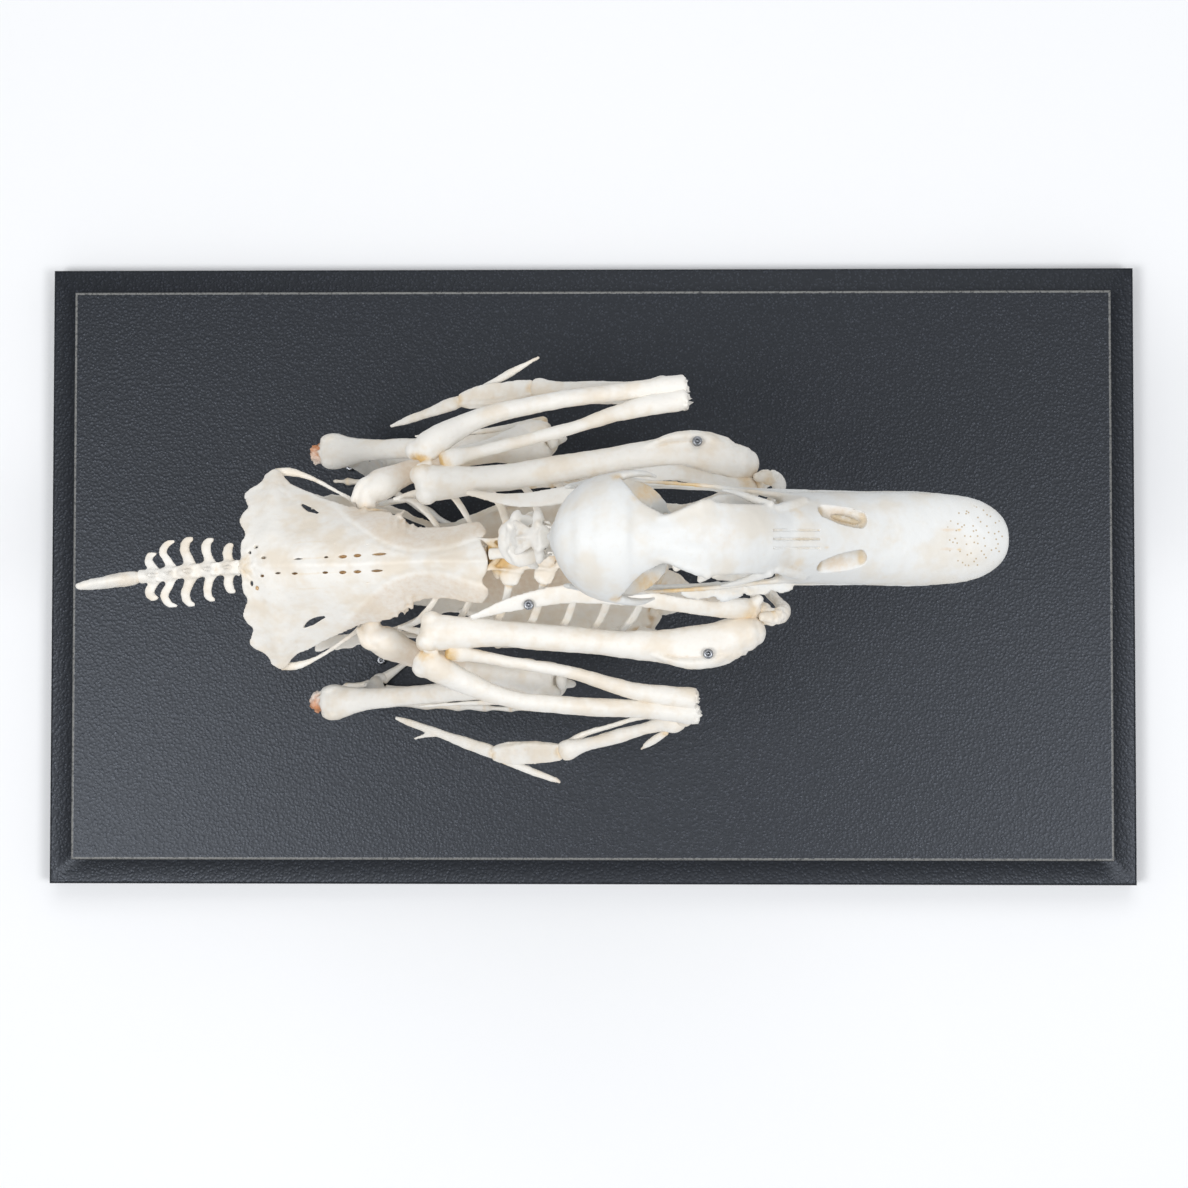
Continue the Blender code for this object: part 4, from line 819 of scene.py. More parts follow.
@dataclass
class Head:
    """The skull and the lower jaw, in a frame of their own: back of the head at x = 0, bill edge at z = 0."""

    shop: Workshop
    length: float = 125.0
    bill_root: float = 61.0
    bill_edge: float = 0.9
    bill_widths: Rows = ((61, 11.6), (64, 12.2), (70, 12.4), (80, 12.5), (90, 12.7), (101, 12.65), (110, 12.2),
        (115, 11.3), (119, 9.7), (122, 7.6), (124.2, 4.9), (125, 3.0))
    bill_tops: Rows = ((61, 19.4), (66, 17.6), (72, 15.0), (80, 11.9), (90, 9.1), (100, 7.3), (110, 5.8), (118, 4.6),
        (125, 2.9))
    roof_widths: Rows = ((16, 10.4), (19, 7.8), (22, 6.4), (24.5, 6.0), (27.5, 6.5), (31, 8.0), (34, 9.2), (36.6, 10.2),
        (38.2, 10.7), (39.8, 9.9), (44, 9.5), (50, 9.3), (56, 9.1), (61, 9.3), (67, 9.6))
    roof_tops: Rows = ((16, 29.2), (22, 29.7), (28, 29.8), (38, 29.0), (48, 26.6), (56, 22.8), (62, 19.4), (67, 16.8))
    braincase: Rows = ((1.2, 0, 14.6, 5.4, 5.4), (2.4, 0, 15.4, 9.9, 8.8), (5.0, 0, 16.0, 13.4, 11.5),
        (9.4, 0, 16.3, 16.0, 13.3), (14.5, 0, 16.8, 17.1, 13.9), (19.5, 0, 17.4, 16.2, 13.3),
        (24.5, 0, 18.8, 12.8, 11.6), (30, 0, 20.4, 8.4, 9.4), (36.5, 0, 22.4, 4.0, 6.5))
    jaw: Rows = ((3.6, 13.2, 3.4, 0.7, 1.3), (8, 13.9, -1.2, 1.0, 2.2), (13, 14.4, -3.6, 1.7, 2.8),
        (18, 14.4, -4.6, 2.0, 3.0), (24, 14.2, -4.8, 1.3, 2.9), (38, 13.6, -4.6, 0.9, 3.4), (60, 12.4, -4.4, 0.85, 2.8),
        (85, 12.0, -3.4, 0.85, 2.1), (105, 11.6, -2.9, 1.0, 1.5), (115, 9.4, -2.5, 1.2, 1.3),
        (121, 5.2, -2.3, 1.3, 1.2))

    def bill_top(self, along: np.ndarray, across: np.ndarray) -> np.ndarray:
        """The bill's outer skin: an arch that falls off faster towards its edges, with a faint raised nail at the tip.

        Args:
            along: Shares from root to tip.
            across: Shares from right to left.

        Returns:
            Points, x y z first.
        """
        x = self.bill_root + (self.length - self.bill_root) * (1 - (1 - along) ** 1.35)
        share = 2 * across - 1
        return np.stack((x, share * eased(x, self.bill_widths), self.bill_height(x, share)))

    def bill_height(self, x: np.ndarray, share: np.ndarray) -> np.ndarray:
        """The height of the bill's outer skin at a share from its middle to its edge."""
        rise = eased(x, self.bill_tops) - self.bill_edge
        culmen = 0.35 * bell(share, 0, 0.32) * climb(x, 104, -30)
        nail = 0.3 * np.exp(-((x - 119) / 5.0) ** 4 - (share / 0.45) ** 4)
        return self.bill_edge + rise * (1 - np.abs(share) ** 2.5) ** 0.6 + culmen + nail

    def nostril(self) -> list[tuple[float, ...]]:
        """Rows of the left nostril: a long oval pit that follows the bill's skin."""
        x, y = np.array((71.6, 75.2, 79.0, 82.4)), np.array((7.7, 6.9, 6.0, 5.1))
        z = self.bill_height(x, y / eased(x, self.bill_widths))
        return [(*spot, wide, 1.7) for spot, wide in zip(np.column_stack((x, y, z + 0.1)), (2.5, 2.9, 2.9, 2.5))]

    def bill_palate(self, along: np.ndarray, across: np.ndarray) -> np.ndarray:
        """The bill's under skin: hollowed between its edges, with a low keel along the middle."""
        x, y, _ = self.bill_top(along, across)
        share = 2 * across - 1
        hollow = np.minimum(2.6, 0.34 * (eased(x, self.bill_tops) - self.bill_edge))
        keel = 0.5 * bell(share, 0, 0.14)
        return np.stack((x, y, self.bill_edge - 0.7 + hollow * (1 - share ** 2) - keel))

    def roof(self, along: np.ndarray, across: np.ndarray, offset: float) -> np.ndarray:
        """The frontal bones: crowned across, grooved along the middle, arched down at the bill.

        Args:
            along: Shares from the braincase to the bill.
            across: Shares from right to left.
            offset: How far the skin is raised.

        Returns:
            Points, x y z first.
        """
        x = 16.0 + 51.0 * along
        share = 2 * across - 1
        crown = eased(x, ((16, 2.0), (38, 2.2), (44, 2.6), (54, 4.0), (62, 6.6), (67, 7.6))) * np.abs(share) ** 2.4
        groove = 0.45 * bell(share, 0, 0.22) * climb(x, 58, -20) * climb(x, 24, 8)
        brow = 0.6 * bell(np.abs(share), 0.93, 0.1) * climb(x, 46, -8) * climb(x, 20, 6)
        edge = 1 + 0.03 * np.sin(1.9 * x + 2.0 * share) * bell(x, 37.5, 2.5)
        return np.stack((x, share * eased(x, self.roof_widths) * edge,
            eased(x, self.roof_tops) - crown - groove + brow + offset))

    def braincase_skin(self) -> Surface:
        """The dome of the braincase, cut by the eye sockets, the temple hollows and the two holes of the hind head."""
        skin = [tube(self.braincase, 72, 64, blunt=0.5)]
        skin.append(tube(((5.2, -12.2, 12.6, 0.8, 0.8), (4.8, -9.4, 20.6, 0.8, 0.8), (5.8, 0, 27.4, 0.8, 0.6),
            (4.8, 9.4, 20.6, 0.8, 0.8), (5.2, 12.2, 12.6, 0.8, 0.8)), 60, 10, up=(1, 0, 0)))
        cuts = []
        for side in Side:
            cuts.append(blob((28.2, 13.8, 17.0), (13.6, 11.8, 12.4), None, 40, 40).on(side))
            cuts.append(blob((11.0, 19.4, 9.0), (5.6, 4.4, 6.6), None, 24, 24).on(side))
            cuts.append(blob((1.2, 3.1, 15.4), (3.0, 0.95, 1.7), None, 16, 16).on(side))
        cuts.append(blob((0.4, 0, 4.8), (3.2, 2.6, 2.3), None, 16, 20))
        return melted(skin, 0.5, cuts)

    def skull(self) -> None:
        """Builds the skull without its lower jaw."""
        skin = [self.braincase_skin()]
        skin.append(sheet(lambda u, v: self.roof(u, v, 0.0), lambda u, v: self.roof(u, v, -2.0), 110, 60))
        skin.append(sheet(self.bill_top, self.bill_palate, 150, 90))
        skin.append(sheet(lambda u, v: self.septum(u, v, 1), lambda u, v: self.septum(u, v, -1), 60, 40))
        skin.append(tube(((8, 0, 4.2, 4.2, 3.0), (18, 0, 4.4, 2.6, 2.2), (30, 0, 4.9, 1.6, 1.6), (44, 0, 5.8, 1.4, 1.5),
            (66, 0, 6.4, 1.6, 1.8)), 50, 18))
        skin.append(blob((0.7, 0, 8.4), (3.2, 1.9, 1.6)))
        for side in Side:
            parts = [
                tube(((11, 14.2, 18.6, 2.2, 3.4), (15.5, 16.0, 18.2, 1.5, 2.6), (19.5, 16.9, 16.4, 1.1, 2.0),
                      (23, 16.9, 13.8, 0.8, 1.4), (26.5, 16.2, 10.8, 0.45, 0.7)), 36, 16),
                tube(((14.6, 10.6, 13.0, 1.6, 1.4), (19.4, 12.6, 9.6, 1.2, 1.0), (24.6, 10.2, 8.0, 0.9, 1.4),
                      (29.6, 7.4, 8.4, 0.6, 1.2), (31, 6.0, 9.4, 0.4, 0.6)), 34, 12),
                tube(((56, 8.4, 18.2, 2.0, 1.2), (52.5, 10.2, 15.4, 1.3, 1.0), (48, 12.0, 11.6, 0.9, 0.9),
                      (44.5, 12.8, 9.2, 0.45, 0.6)), 30, 12),
                tube(((14.5, 12.4, 10.4, 2.6, 2.6), (17.5, 13.0, 6.0, 1.9, 2.4), (19.0, 13.6, 1.8, 2.0, 2.6),
                      (19.8, 13.9, -1.8, 2.8, 3.1)), 30, 16, up=(1, 0, 0)),
                tube(((15.5, 12.4, 6.8, 1.0, 0.9), (21.5, 10.0, 8.6, 0.9, 0.8), (25.5, 8.0, 10.6, 0.5, 0.5)), 20, 12),
                tube(((19.5, 15.2, 1.4, 1.2, 1.3), (25, 14.9, 1.0, 0.8, 0.9), (42, 13.8, 1.5, 0.7, 0.75),
                      (56, 12.2, 2.8, 0.8, 0.9), (64, 11.0, 4.2, 1.2, 1.6)), 60, 14),
                tube(((19.5, 11.6, 2.0, 1.6, 1.5), (24, 8.0, 3.4, 1.1, 1.2), (30, 4.2, 4.8, 1.4, 1.2)), 30, 14),
                tube(((30, 3.8, 4.8, 1.6, 1.0), (38, 5.4, 3.2, 3.0, 0.8), (46, 7.3, 2.6, 4.7, 0.8),
                      (56, 6.9, 3.0, 3.6, 0.8), (67, 7.0, 3.4, 1.8, 0.9)), 44, 14),
                tube(((14.6, 11.6, 12.6, 4.2, 1.2), (20, 11.0, 10.8, 4.7, 1.0), (25, 9.5, 9.4, 3.8, 0.9),
                      (29, 7.4, 8.6, 2.0, 0.8)), 30, 16),
                tube(((58, 8.0, 17.0, 1.2, 1.4), (62, 9.0, 13.6, 1.2, 1.8), (66.5, 10.2, 9.4, 1.2, 1.8)), 20, 14),
            ]
            skin += [part.on(side) for part in parts]
        cuts = []
        for side in Side:
            tilt = Euler((math.radians(-20), math.radians(9), math.radians(-14)))
            cuts.append(tube(self.nostril(), 40, 32, up=(0.3, 0.42, 0.86), blunt=1.0).on(side))
            if side is Side.LEFT:
                cuts.append(blob((77.4, 4.7, 9.4), (4.2, 0.8, 6.0), tilt, 20, 16))
            for y in (2.4, 0.0) if side is Side.LEFT else (2.4,):
                groove = [(x, y, height + 0.15, 0.3, 0.55) for x, height in ((56.5, 22.4), (60, 20.4), (64, 18.4),
                    (70, 15.8))]
                cuts.append(tube(groove, 30, 10, blunt=0.5).on(side))
        # Some of these marks are painted shade inside the skull's holes.
        marks = [
            Mark(Tint.DARK, (3.0, 0, 4.6), (3.0, 2.6, 2.4), 0.9),
            amber((92, 0, 9.4), (17, 2.4, 3.0), 0.22),
            Mark(Tint.BLUSH, (44, 0, 28), (22, 8, 6), 0.35),
            Mark(Tint.PINHOLE, (115, 0.8, 4.5), (12.5, 11.5, 6.0), 1.0),
            amber((72, -2.2, 15.0), (2.4, 0.9, 1.5), 0.35),
        ]
        marks += [mark.on(side) for side in Side for mark in (
            Mark(Tint.DARK, (1.2, 3.1, 15.4), (1.7, 1.2, 1.8), 1.0),
            Mark(Tint.BLUSH, (107.5, 2.6, 6.6), (4.6, 0.9, 2), 0.8),
            amber((110.4, 2.6, 6.4), (1.4, 0.7, 2), 0.9),
            amber((64.4, 7.0, 16.4), (3.0, 4.4, 4.0), 0.34),
            amber((14.6, 14.0, 20.4), (3.4, 4.8, 5.2), 0.8),
            amber((18.0, 9.4, 25.6), (4.0, 3.6, 3.4), 0.55),
            amber((25, 7.8, 20), (9, 4, 8), 0.4),
            amber((24, 12.0, 9), (9, 6, 7), 0.55),
            amber((18, 13.6, 2), (7, 5, 7), 0.7),
            Mark(Tint.BLUSH, (76, 6.6, 10.4), (9, 4.0, 4.4), 0.7),
            amber((54, 12, 7), (15, 6, 8), 0.5),
            amber((34, 13.8, 1.6), (17, 4, 4), 0.6),
        )]
        self.shop.bone_piece("skull", melted([melted(skin, 0.5, smooth=1)], 0.5, cuts), marks, place=HEAD, rough=0.07,
            finish=self.shop.skull)

    def septum(self, along: np.ndarray, up: np.ndarray, side: int) -> np.ndarray:
        """The thin wall between the eye sockets, from the palate to just inside the frontal bones."""
        x = 24 + (40 - 9 * up) * along
        low = 5 + 1.5 * along
        return np.stack((x, side * (0.6 + 0.5 * up), low + (eased(x, self.roof_tops) - 1.2 - low) * up))

    def mandible(self) -> None:
        """Builds the lower jaw: one U with a spoon-shaped plate between its tips."""
        right = [(x, -y, z, wide, deep) for x, y, z, wide, deep in reversed(self.jaw)]
        skin = [tube(list(self.jaw) + [(123.0, 0, -2.2, 1.3, 1.2)] + right, 260, 18, blunt=0.5)]
        skin.append(sheet(lambda u, v: np.stack((105 + 17 * u, (2 * v - 1) * (11.2 - 6 * u * u), -2.0 + 0 * u)),
            lambda u, v: np.stack((105 + 17 * u, (2 * v - 1) * (11.2 - 6 * u * u), -3.2 + 0 * u)), 40, 40))
        flakes = (((40, -15.2, -1.7), (5.4, 2.0, 0.5)), ((48, -14.8, -1.5), (4.6, 2.4, 0.5)),
            ((56, -13.9, -1.8), (4.8, 2.2, 0.5)), ((63, -13.4, -1.7), (3.6, 1.8, 0.5)))
        skin += [blob(place, radii) for place, radii in flakes]
        marks = [amber((50, -14.5, -2), (16, 4, 5), 0.3), amber((16, 14, -3), (9, 5, 6), 0.5),
            amber((16, -14, -3), (9, 5, 6), 0.5)]
        crumbles = [Crumble((50, -15.6, -1.6), 16.0, 0.45, 2.2)]
        self.shop.bone_piece("mandible", melted(skin, 0.5), marks, crumbles, place=HEAD, finish=self.shop.skull)

    def build(self) -> None:
        """Builds both pieces."""
        self.skull()
        self.mandible()


@dataclass
class Neck:
    """Thirteen neck vertebrae along an S, in four pieces that follow the CAD nodes."""

    shop: Workshop
    path: Rows = ((27.6, 0, 161), (45, 0, 163.5), (58.5, 0, 173), (57.5, 0, 190), (45, 0, 206), (26, -0.2, 218.5),
        (5, -0.5, 228.5), (-10.5, -0.8, 239.5), (-14.6, -1, 253), (-6.2, -1.7, 267.4))
    count: int = 13
    nodes: Sequence[tuple[str, int, int]] = (("neck_base", 0, 3), ("neck_lower", 3, 7), ("neck_middle", 7, 10),
        ("neck_upper", 10, 13))
    widths: Rows = ((0, 1.2), (3, 1.08), (7, 0.95), (10, 0.88), (11.5, 0.84), (12, 0.8))

    def frame_at(self, place: float) -> tuple[np.ndarray, np.ndarray, np.ndarray]:
        """Where a point of the neck is.

        Args:
            place: How far up the neck, in vertebrae.

        Returns:
            The position, the headward direction and the dorsal direction.
        """
        path = spline(self.path, 4 * self.count + 1)
        index = min(max(int(round(place * 4)), 0), len(path) - 1)
        along = path[min(index + 1, len(path) - 1)] - path[max(index - 1, 0)]
        along /= np.linalg.norm(along)
        dorsal = np.array((-along[2], 0.0, along[0]))
        return path[index], along, dorsal / np.linalg.norm(dorsal)

    def vertebra(self, number: int) -> tuple[list[Surface], list[Surface]]:
        """One vertebra: a waisted saddle-ended body, wings with a vessel hole, joint arms, crest and rib spikes.

        Args:
            number: Its number from the back end of the neck.

        Returns:
            Its closed parts, and the holes through it.
        """
        size = read(number, self.widths)
        middle, along, dorsal = self.frame_at(number + 0.5)
        start, end = self.frame_at(number)[0], self.frame_at(number + 1)[0]
        length = float(np.linalg.norm(end - start))
        across = np.array((0.0, 1.0, 0.0))

        def at(forward: float, out: float, up: float) -> np.ndarray:
            """A place on the vertebra, its last two numbers grown with the vertebra."""
            return middle + along * length * forward + across * out * size + dorsal * up * size

        def row(forward: float, out: float, up: float, wide: float, deep: float) -> tuple[float, ...]:
            """A row for a tube, with its sizes grown with the vertebra."""
            return (*at(forward, out, up), wide * size, deep * size)

        body = [(*(start + along * 0.25), 3.9 * size, 2.7 * size), row(-0.36, 0, 0, 3.6, 2.8),
            row(-0.1, 0, -0.1, 2.5, 2.3), row(0.2, 0, 0, 3.0, 2.5), (*(end - along * 0.25), 3.9 * size, 2.6 * size)]
        parts = [tube(body, 30, 22, up=dorsal, blunt=0.12)]
        arch = [row(-0.3, 0, 1.9, 3.5, 1.5), row(0.0, 0, 2.1, 2.6, 1.3), row(0.3, 0, 1.7, 3.2, 1.3)]
        parts.append(tube(arch, 20, 18, up=dorsal, blunt=0.6))
        crest = [(*at(0.22, 0, 2.6), 0.7 * size, 0.7), row(-0.05, 0, 3.6, 0.6, 1.2), row(-0.28, 0, 3.7, 0.6, 1.0)]
        parts.append(tube(crest, 14, 12, up=dorsal))
        holes = []
        for sign in (1, -1):
            parts.append(tube([row(0.28, 1.6 * sign, 0.6, 2.3, 1.3), row(0.28, 5.0 * sign, 0.2, 2.2, 1.7),
                row(0.2, 7.4 * sign, -0.4, 1.6, 1.5), row(0.12, 8.4 * sign, -0.9, 0.8, 0.9)], 22, 16, up=dorsal))
            parts.append(tube([row(0.12, 1.6 * sign, 1.9, 1.4, 1.1), row(-0.2, 3.9 * sign, 2.2, 1.3, 1.1),
                row(-0.42, 4.8 * sign, 2.0, 1.5, 1.0)], 20, 14, up=dorsal))
            parts.append(tube([row(0.16, 2.0 * sign, 1.4, 1.3, 1.1), row(0.4, 4.4 * sign, 1.6, 1.4, 1.0)], 14, 14,
                up=dorsal))
            parts.append(tube([row(0.22, 6.0 * sign, -1.6, 0.8, 0.8), row(-0.02, 5.2 * sign, -2.6, 0.55, 0.55),
                (*at(-0.36, 4.2 * sign, -3.0), 0.3, 0.3)], 20, 10, up=dorsal))
            holes.append(tube([row(0.5, 4.3 * sign, -0.6, 0.8, 0.8), row(-0.1, 4.9 * sign, -0.6, 0.8, 0.8)], 8, 12,
                up=dorsal, blunt=0))
        parts.append(tube([(*at(0.3, 0, -2.2), 0.6 * size, 0.7), row(0.05, 0, -3.0, 0.5, 1.0),
            (*at(-0.2, 0, -2.6), 0.5, 0.5)], 14, 12, up=dorsal))
        return parts, holes

    def build(self) -> None:
        """Builds the four pieces; a thin gap in the dorsal arches shows where one vertebra ends."""
        for name, first, last in self.nodes:
            parts, holes, marks = [], [], []
            for number in range(first, last):
                more, through = self.vertebra(number)
                parts += more
                holes += through
                place = self.frame_at(number)[0]
                marks.append(amber(place, (2.6, 6.0, 4.0), 0.34))
            if last == self.count:
                parts.append(blob((-13.0, -1.7, 252.8), (7.4, 7.0, 3.0), Euler((0, math.radians(-22), 0))))
                # Two spots of painted shade stand for holes; the plate itself is not cut there.
                marks += [Mark(Tint.DARK, (-9.0, -1.9, 255.2), (0.9, 1.7, 2.5), 1.0),
                    Mark(Tint.DARK, (-6.9, -3.2, 255.6), (1.4, 2.2, 3.0), 1.0)]
            self.shop.bone_piece(name, melted(parts, 0.45, holes), marks, rough=0.12)


@dataclass
class Trunk:
    """Back vertebrae, rib cage, breastbone and wishbone."""

    shop: Workshop
    rib_count: int = 7
    rib_pitch: float = 10.4
    rib_first: float = 20.8
    rib_half_widths: Place = (24.0, 25.4, 26.0, 26.0, 25.0, 23.0, 20.4)
    pelvis_front: float = -27.4
    sternum_widths: Rows = ((24, 19), (19, 24.5), (10, 24.2), (-10, 23.0), (-20, 22.2), (-28, 18.4), (-34, 15.2),
        (-42, 14.6), (-49, 15.4), (-59, 19.6), (-70, 23.5), (-88, 25.5))
    sternum_middle: Rows = ((24, 92), (0, 89.5), (-40, 91), (-88, 97))
    sternum_rise: Rows = ((24, 11), (0, 12.4), (-30, 11), (-60, 6.5), (-88, 3))
    keel_depth: Rows = ((24, 22), (10, 27), (-15, 24), (-45, 15), (-82, 1.2))

    def spine(self) -> None:
        """Back vertebrae fused into one bar: bodies, a crest, broad cross processes and stray tendon rods."""
        front, rear = 27.0, self.pelvis_front + 0.35
        parts = [tube([(front, 0, 161, 3.6, 3.2), (0, 0, 161.6, 3.0, 3.0), (rear, 0, 160.4, 3.4, 3.2)], 60, 22,
            blunt=0)]
        parts.append(tube([(front, 0, 165.6, 0.9, 3.0), (0, 0, 166.6, 0.8, 3.0), (rear, 0, 165.6, 0.9, 2.6)], 60, 12,
            blunt=0, square=4.0))
        parts.append(tube([(front, 0, 168.4, 1.3, 0.6), (0, 0, 169.4, 1.4, 0.6), (rear, 0, 168.0, 1.7, 0.6)], 60, 12,
            blunt=0))
        parts.append(blob((-24.6, -1.2, 161.4), (2.6, 6.4, 3.4)))
        marks = [amber((-24, 0, 163), (10, 10, 7), 1.0)]
        holes = []
        for index in range(self.rib_count - 2):
            x = self.rib_first - self.rib_pitch * index
            parts.append(tube([(x - 4.4, 0, 161, 3.9, 3.3), (x - 6.2, 0, 161, 3.9, 3.3)], 8, 20, blunt=0.2))
            marks.append(amber((x - 5.2, 0, 163), (4.0, 8.5, 6), 0.8))
            for sign in (1, -1):
                parts.append(tube([(x, 0.8 * sign, 163.4, 3.8, 1.1), (x - 0.2, 4.6 * sign, 163.9, 3.0, 0.8),
                    (x - 0.3, 7.0 * sign, 163.7, 3.3, 0.9), (x - 0.4, 8.9 * sign, 163.4, 2.4, 0.9)], 24, 16))
                parts.append(tube([(x + 3.6, 5.4 * sign, 164.4, 0.5, 0.45), (x - 7.0, 4.6 * sign, 165.0, 0.45, 0.4),
                    (x - 9.8, 5.2 * sign, 164.2, 0.3, 0.3)], 20, 8))
                parts.append(tube([(x - 3.2, 1.0 * sign, 166.2, 0.8, 0.7), (x - 5.4, 3.0 * sign, 165.2, 1.0, 0.7),
                    (x - 7.6, 4.4 * sign, 164.4, 0.6, 0.5)], 14, 10))
                holes.append(blob((x + 4.6, 2.6 * sign, 160.4), (1.0, 1.8, 1.0)))
        self.shop.bone_piece("thoracic_spine", melted(parts, 0.4, holes), marks,
            [Crumble((0, 0, 165), 34.0, 0.22, 1.6)], rough=0.16)

    def rib(self, index: int) -> tuple[list[tuple[float, ...]], list[tuple[float, ...]]]:
        """One rib of the left side.

        Args:
            index: Its number from the front.

        Returns:
            The rows of its back half from the spine to the bend, and those of its breast half.
        """
        x = self.rib_first - self.rib_pitch * index
        wide = self.rib_half_widths[index]
        if x < self.pelvis_front:
            top = [(x, 3.2, 154.4, 1.0, 0.9), (x - 1.4, 9.0, 150.4, 1.1, 0.7)]
        else:
            top = [(x - 0.4, 8.0, 163.2, 1.3, 0.8), (x - 2.0, 13.4, 159.8, 1.3, 0.7)]
        bend = np.array((x - 13 - 1.5 * index, wide, 118 - 0.7 * index))
        rows = top + [(x - 5.5 - 0.3 * index, wide * 0.83, 147, 1.4, 0.65),
            (x - 9.5 - 0.9 * index, wide * 0.97, 133, 1.4, 0.65), (*bend, 1.2, 0.85)]
        foot = np.array((20.5 - 6.0 * index, 24.9, 105.2))
        sag = (bend + foot) / 2 + (-3.0 + 0.2 * index, 0.8, -3.4)
        return rows, [(*bend, 1.2, 0.85), (*sag, 1.0, 0.75), (*foot, 1.3, 0.9)]

    def rib_cage(self, side: Side) -> None:
        """One side's ribs, with the hooked processes that cross the next rib, and the neck and head of each rib."""
        parts, marks = [], []
        for index in range(self.rib_count):
            rows, breast = self.rib(index)
            parts.append(tube(rows, 60, 12, up=(0, 1, 0.4), blunt=0.5))
            parts.append(tube(breast, 40, 12, up=(0, 1, 0.2), blunt=0.5))
            parts.append(blob(breast[0][:3], (1.5, 1.1, 1.5)))
            parts.append(blob(breast[-1][:3], (1.5, 1.0, 1.3)))
            if rows[0][1] > 5:
                x, y, z = rows[0][:3]
                parts.append(tube([(x - 0.4, y + 1.6, z - 1.6, 0.9, 0.7), (x - 0.2, y - 1.4, z - 3.0, 0.8, 0.6),
                    (x, y - 3.6, z - 3.2, 0.9, 0.8)], 16, 10))
            marks += [amber(breast[0][:3], (3, 3, 3), 0.5), amber(breast[-1][:3], (3, 3, 3), 0.6),
                amber(rows[0][:3], (3.4, 4, 3.4), 0.7)]
            if index + 1 < self.rib_count:
                here = np.array(rows[3][:3])
                following = np.array(self.rib(index + 1)[0][3][:3])
                root, tip = here + (0.4, 0, 1.0), following + (-1.0, 0, 5.4 - 0.2 * index)
                parts.append(tube([(*root, 0.6, 1.7), (*((root + tip) / 2 + (0, 0.3, 0.2)), 0.6, 1.35),
                    (*tip, 0.5, 0.7)], 26, 10, up=(0, 1, 0)))
        self.shop.bone_piece(f"rib_cage_{side.label}", melted([part.on(side) for part in parts], 0.4, smooth=1),
            [mark.on(side) for mark in marks], rough=0.1)

    def dish(self, along: np.ndarray, across: np.ndarray, offset: float) -> np.ndarray:
        """The breastbone's dish: its height rises with the square of the share from the middle.

        Args:
            along: Shares from front to rear.
            across: Shares from right to left.
            offset: How far the skin is raised.

        Returns:
            Points, x y z first.
        """
        x = 24.0 - 112.0 * along
        share = 2 * across - 1
        height = eased(x, self.sternum_middle) + eased(x, self.sternum_rise) * np.abs(share) ** 2.0
        pointed = 3.0 * (1 - np.abs(share) ** 2) * np.clip(1 - along * 8, 0, 1)
        edge = 1 + 0.012 * np.sin(0.62 * x) + 0.01 * np.sin(1.3 * x)
        return np.stack((x + pointed, share * eased(x, self.sternum_widths) * edge, height + offset))

    def keel(self, along: np.ndarray, down: np.ndarray, half: float) -> np.ndarray:
        """One face of the keel, thicker along its lower edge; half is its signed half thickness."""
        x = 24.0 - 106.0 * along
        depth = eased(x, self.keel_depth)
        forward = 12.0 * down ** 1.6 * np.clip(1 - along * 2.2, 0, 1) ** 1.5
        return np.stack((x + forward, half * (0.8 + 0.8 * down ** 5 + 0.5 * (1 - down) ** 4),
            eased(x, self.sternum_middle) - depth * down))

    def sternum(self) -> None:
        """Breastbone: a thin dish with a deep keel, horns at its front corners and two long notches at the rear."""
        parts = [sheet(lambda u, v: self.dish(u, v, 0.6), lambda u, v: self.dish(u, v, -0.6), 160, 90),
            sheet(lambda u, v: self.keel(u, v, 0.8), lambda u, v: self.keel(u, v, -0.8), 140, 50)]
        cuts = []
        for side in Side:
            parts.append(tube(((17, 23.0, 102.5, 2.2, 1.2), (21.5, 24.2, 107.0, 1.6, 0.9), (25, 24.6, 110.4, 0.9, 0.6)),
                20, 14).on(side))
            parts.append(tube(((26, 6.0, 94.0, 2.6, 1.6), (24.4, 12.0, 95.6, 2.4, 1.6), (22.0, 17.0, 99.0, 1.8, 1.4)),
                24, 14).on(side))
            rim = [(x, 0.97 * read(x, self.sternum_widths), read(x, self.sternum_middle) + read(x, self.sternum_rise),
                1.1, 1.0) for x in (16.0, 5.0, -10.0, -25.0, -40.0)]
            parts.append(tube(rim, 40, 12).on(side))
            cuts.append(tube(((-52, 13.0, 97, 1.2, 12), (-62, 14.2, 97, 4.0, 12), (-78, 15.6, 97, 4.6, 12),
                (-95, 16.6, 97, 4.2, 12)), 30, 24).on(side))
        cuts.append(blob((14, 0, 90.6), (2.2, 1.5, 4.0)))
        marks = [Mark(Tint.BLUSH, (-20, 0, 92), (60, 26, 16), 0.8), amber((24, 10, 96), (6, 9, 6), 0.5),
            amber((24, -10, 96), (6, 9, 6), 0.5)]
        self.shop.bone_piece("sternum", melted(parts, 0.6, cuts), marks, rough=0.12)

    def furcula(self) -> None:
        """The wishbone: both collar bones in one U, flattened and flared at the top."""
        left = [(54.4, 21.4, 148.6, 1.4, 1.2), (58.6, 21.4, 146.2, 2.3, 1.6), (61.8, 19.8, 141.2, 2.7, 1.9),
            (60.6, 17.0, 134.6, 2.0, 1.7), (57.6, 12.6, 125.0, 1.7, 1.6), (54.2, 7.0, 114.4, 1.8, 1.7)]
        right = [(x, -y, z, wide, deep) for x, y, z, wide, deep in reversed(left)]
        parts = [tube(left + [(52.0, 0, 108.4, 1.9, 1.9)] + right, 160, 20, up=(1, 0, 0))]
        parts.append(blob((51.6, 0, 107.0), (1.8, 1.4, 2.6)))
        marks = [amber((57, 20.5 * sign, 146), (6, 5, 5), 0.6) for sign in (1, -1)]
        marks.append(Mark(Tint.BLUSH, (56, 0, 115), (12, 20, 16), 0.5))
        crumbles = [Crumble((59, 21 * sign, 145), 6.0, 0.5, 1.4) for sign in (1, -1)]
        self.shop.bone_piece("furcula", melted(parts, 0.42), marks, crumbles)

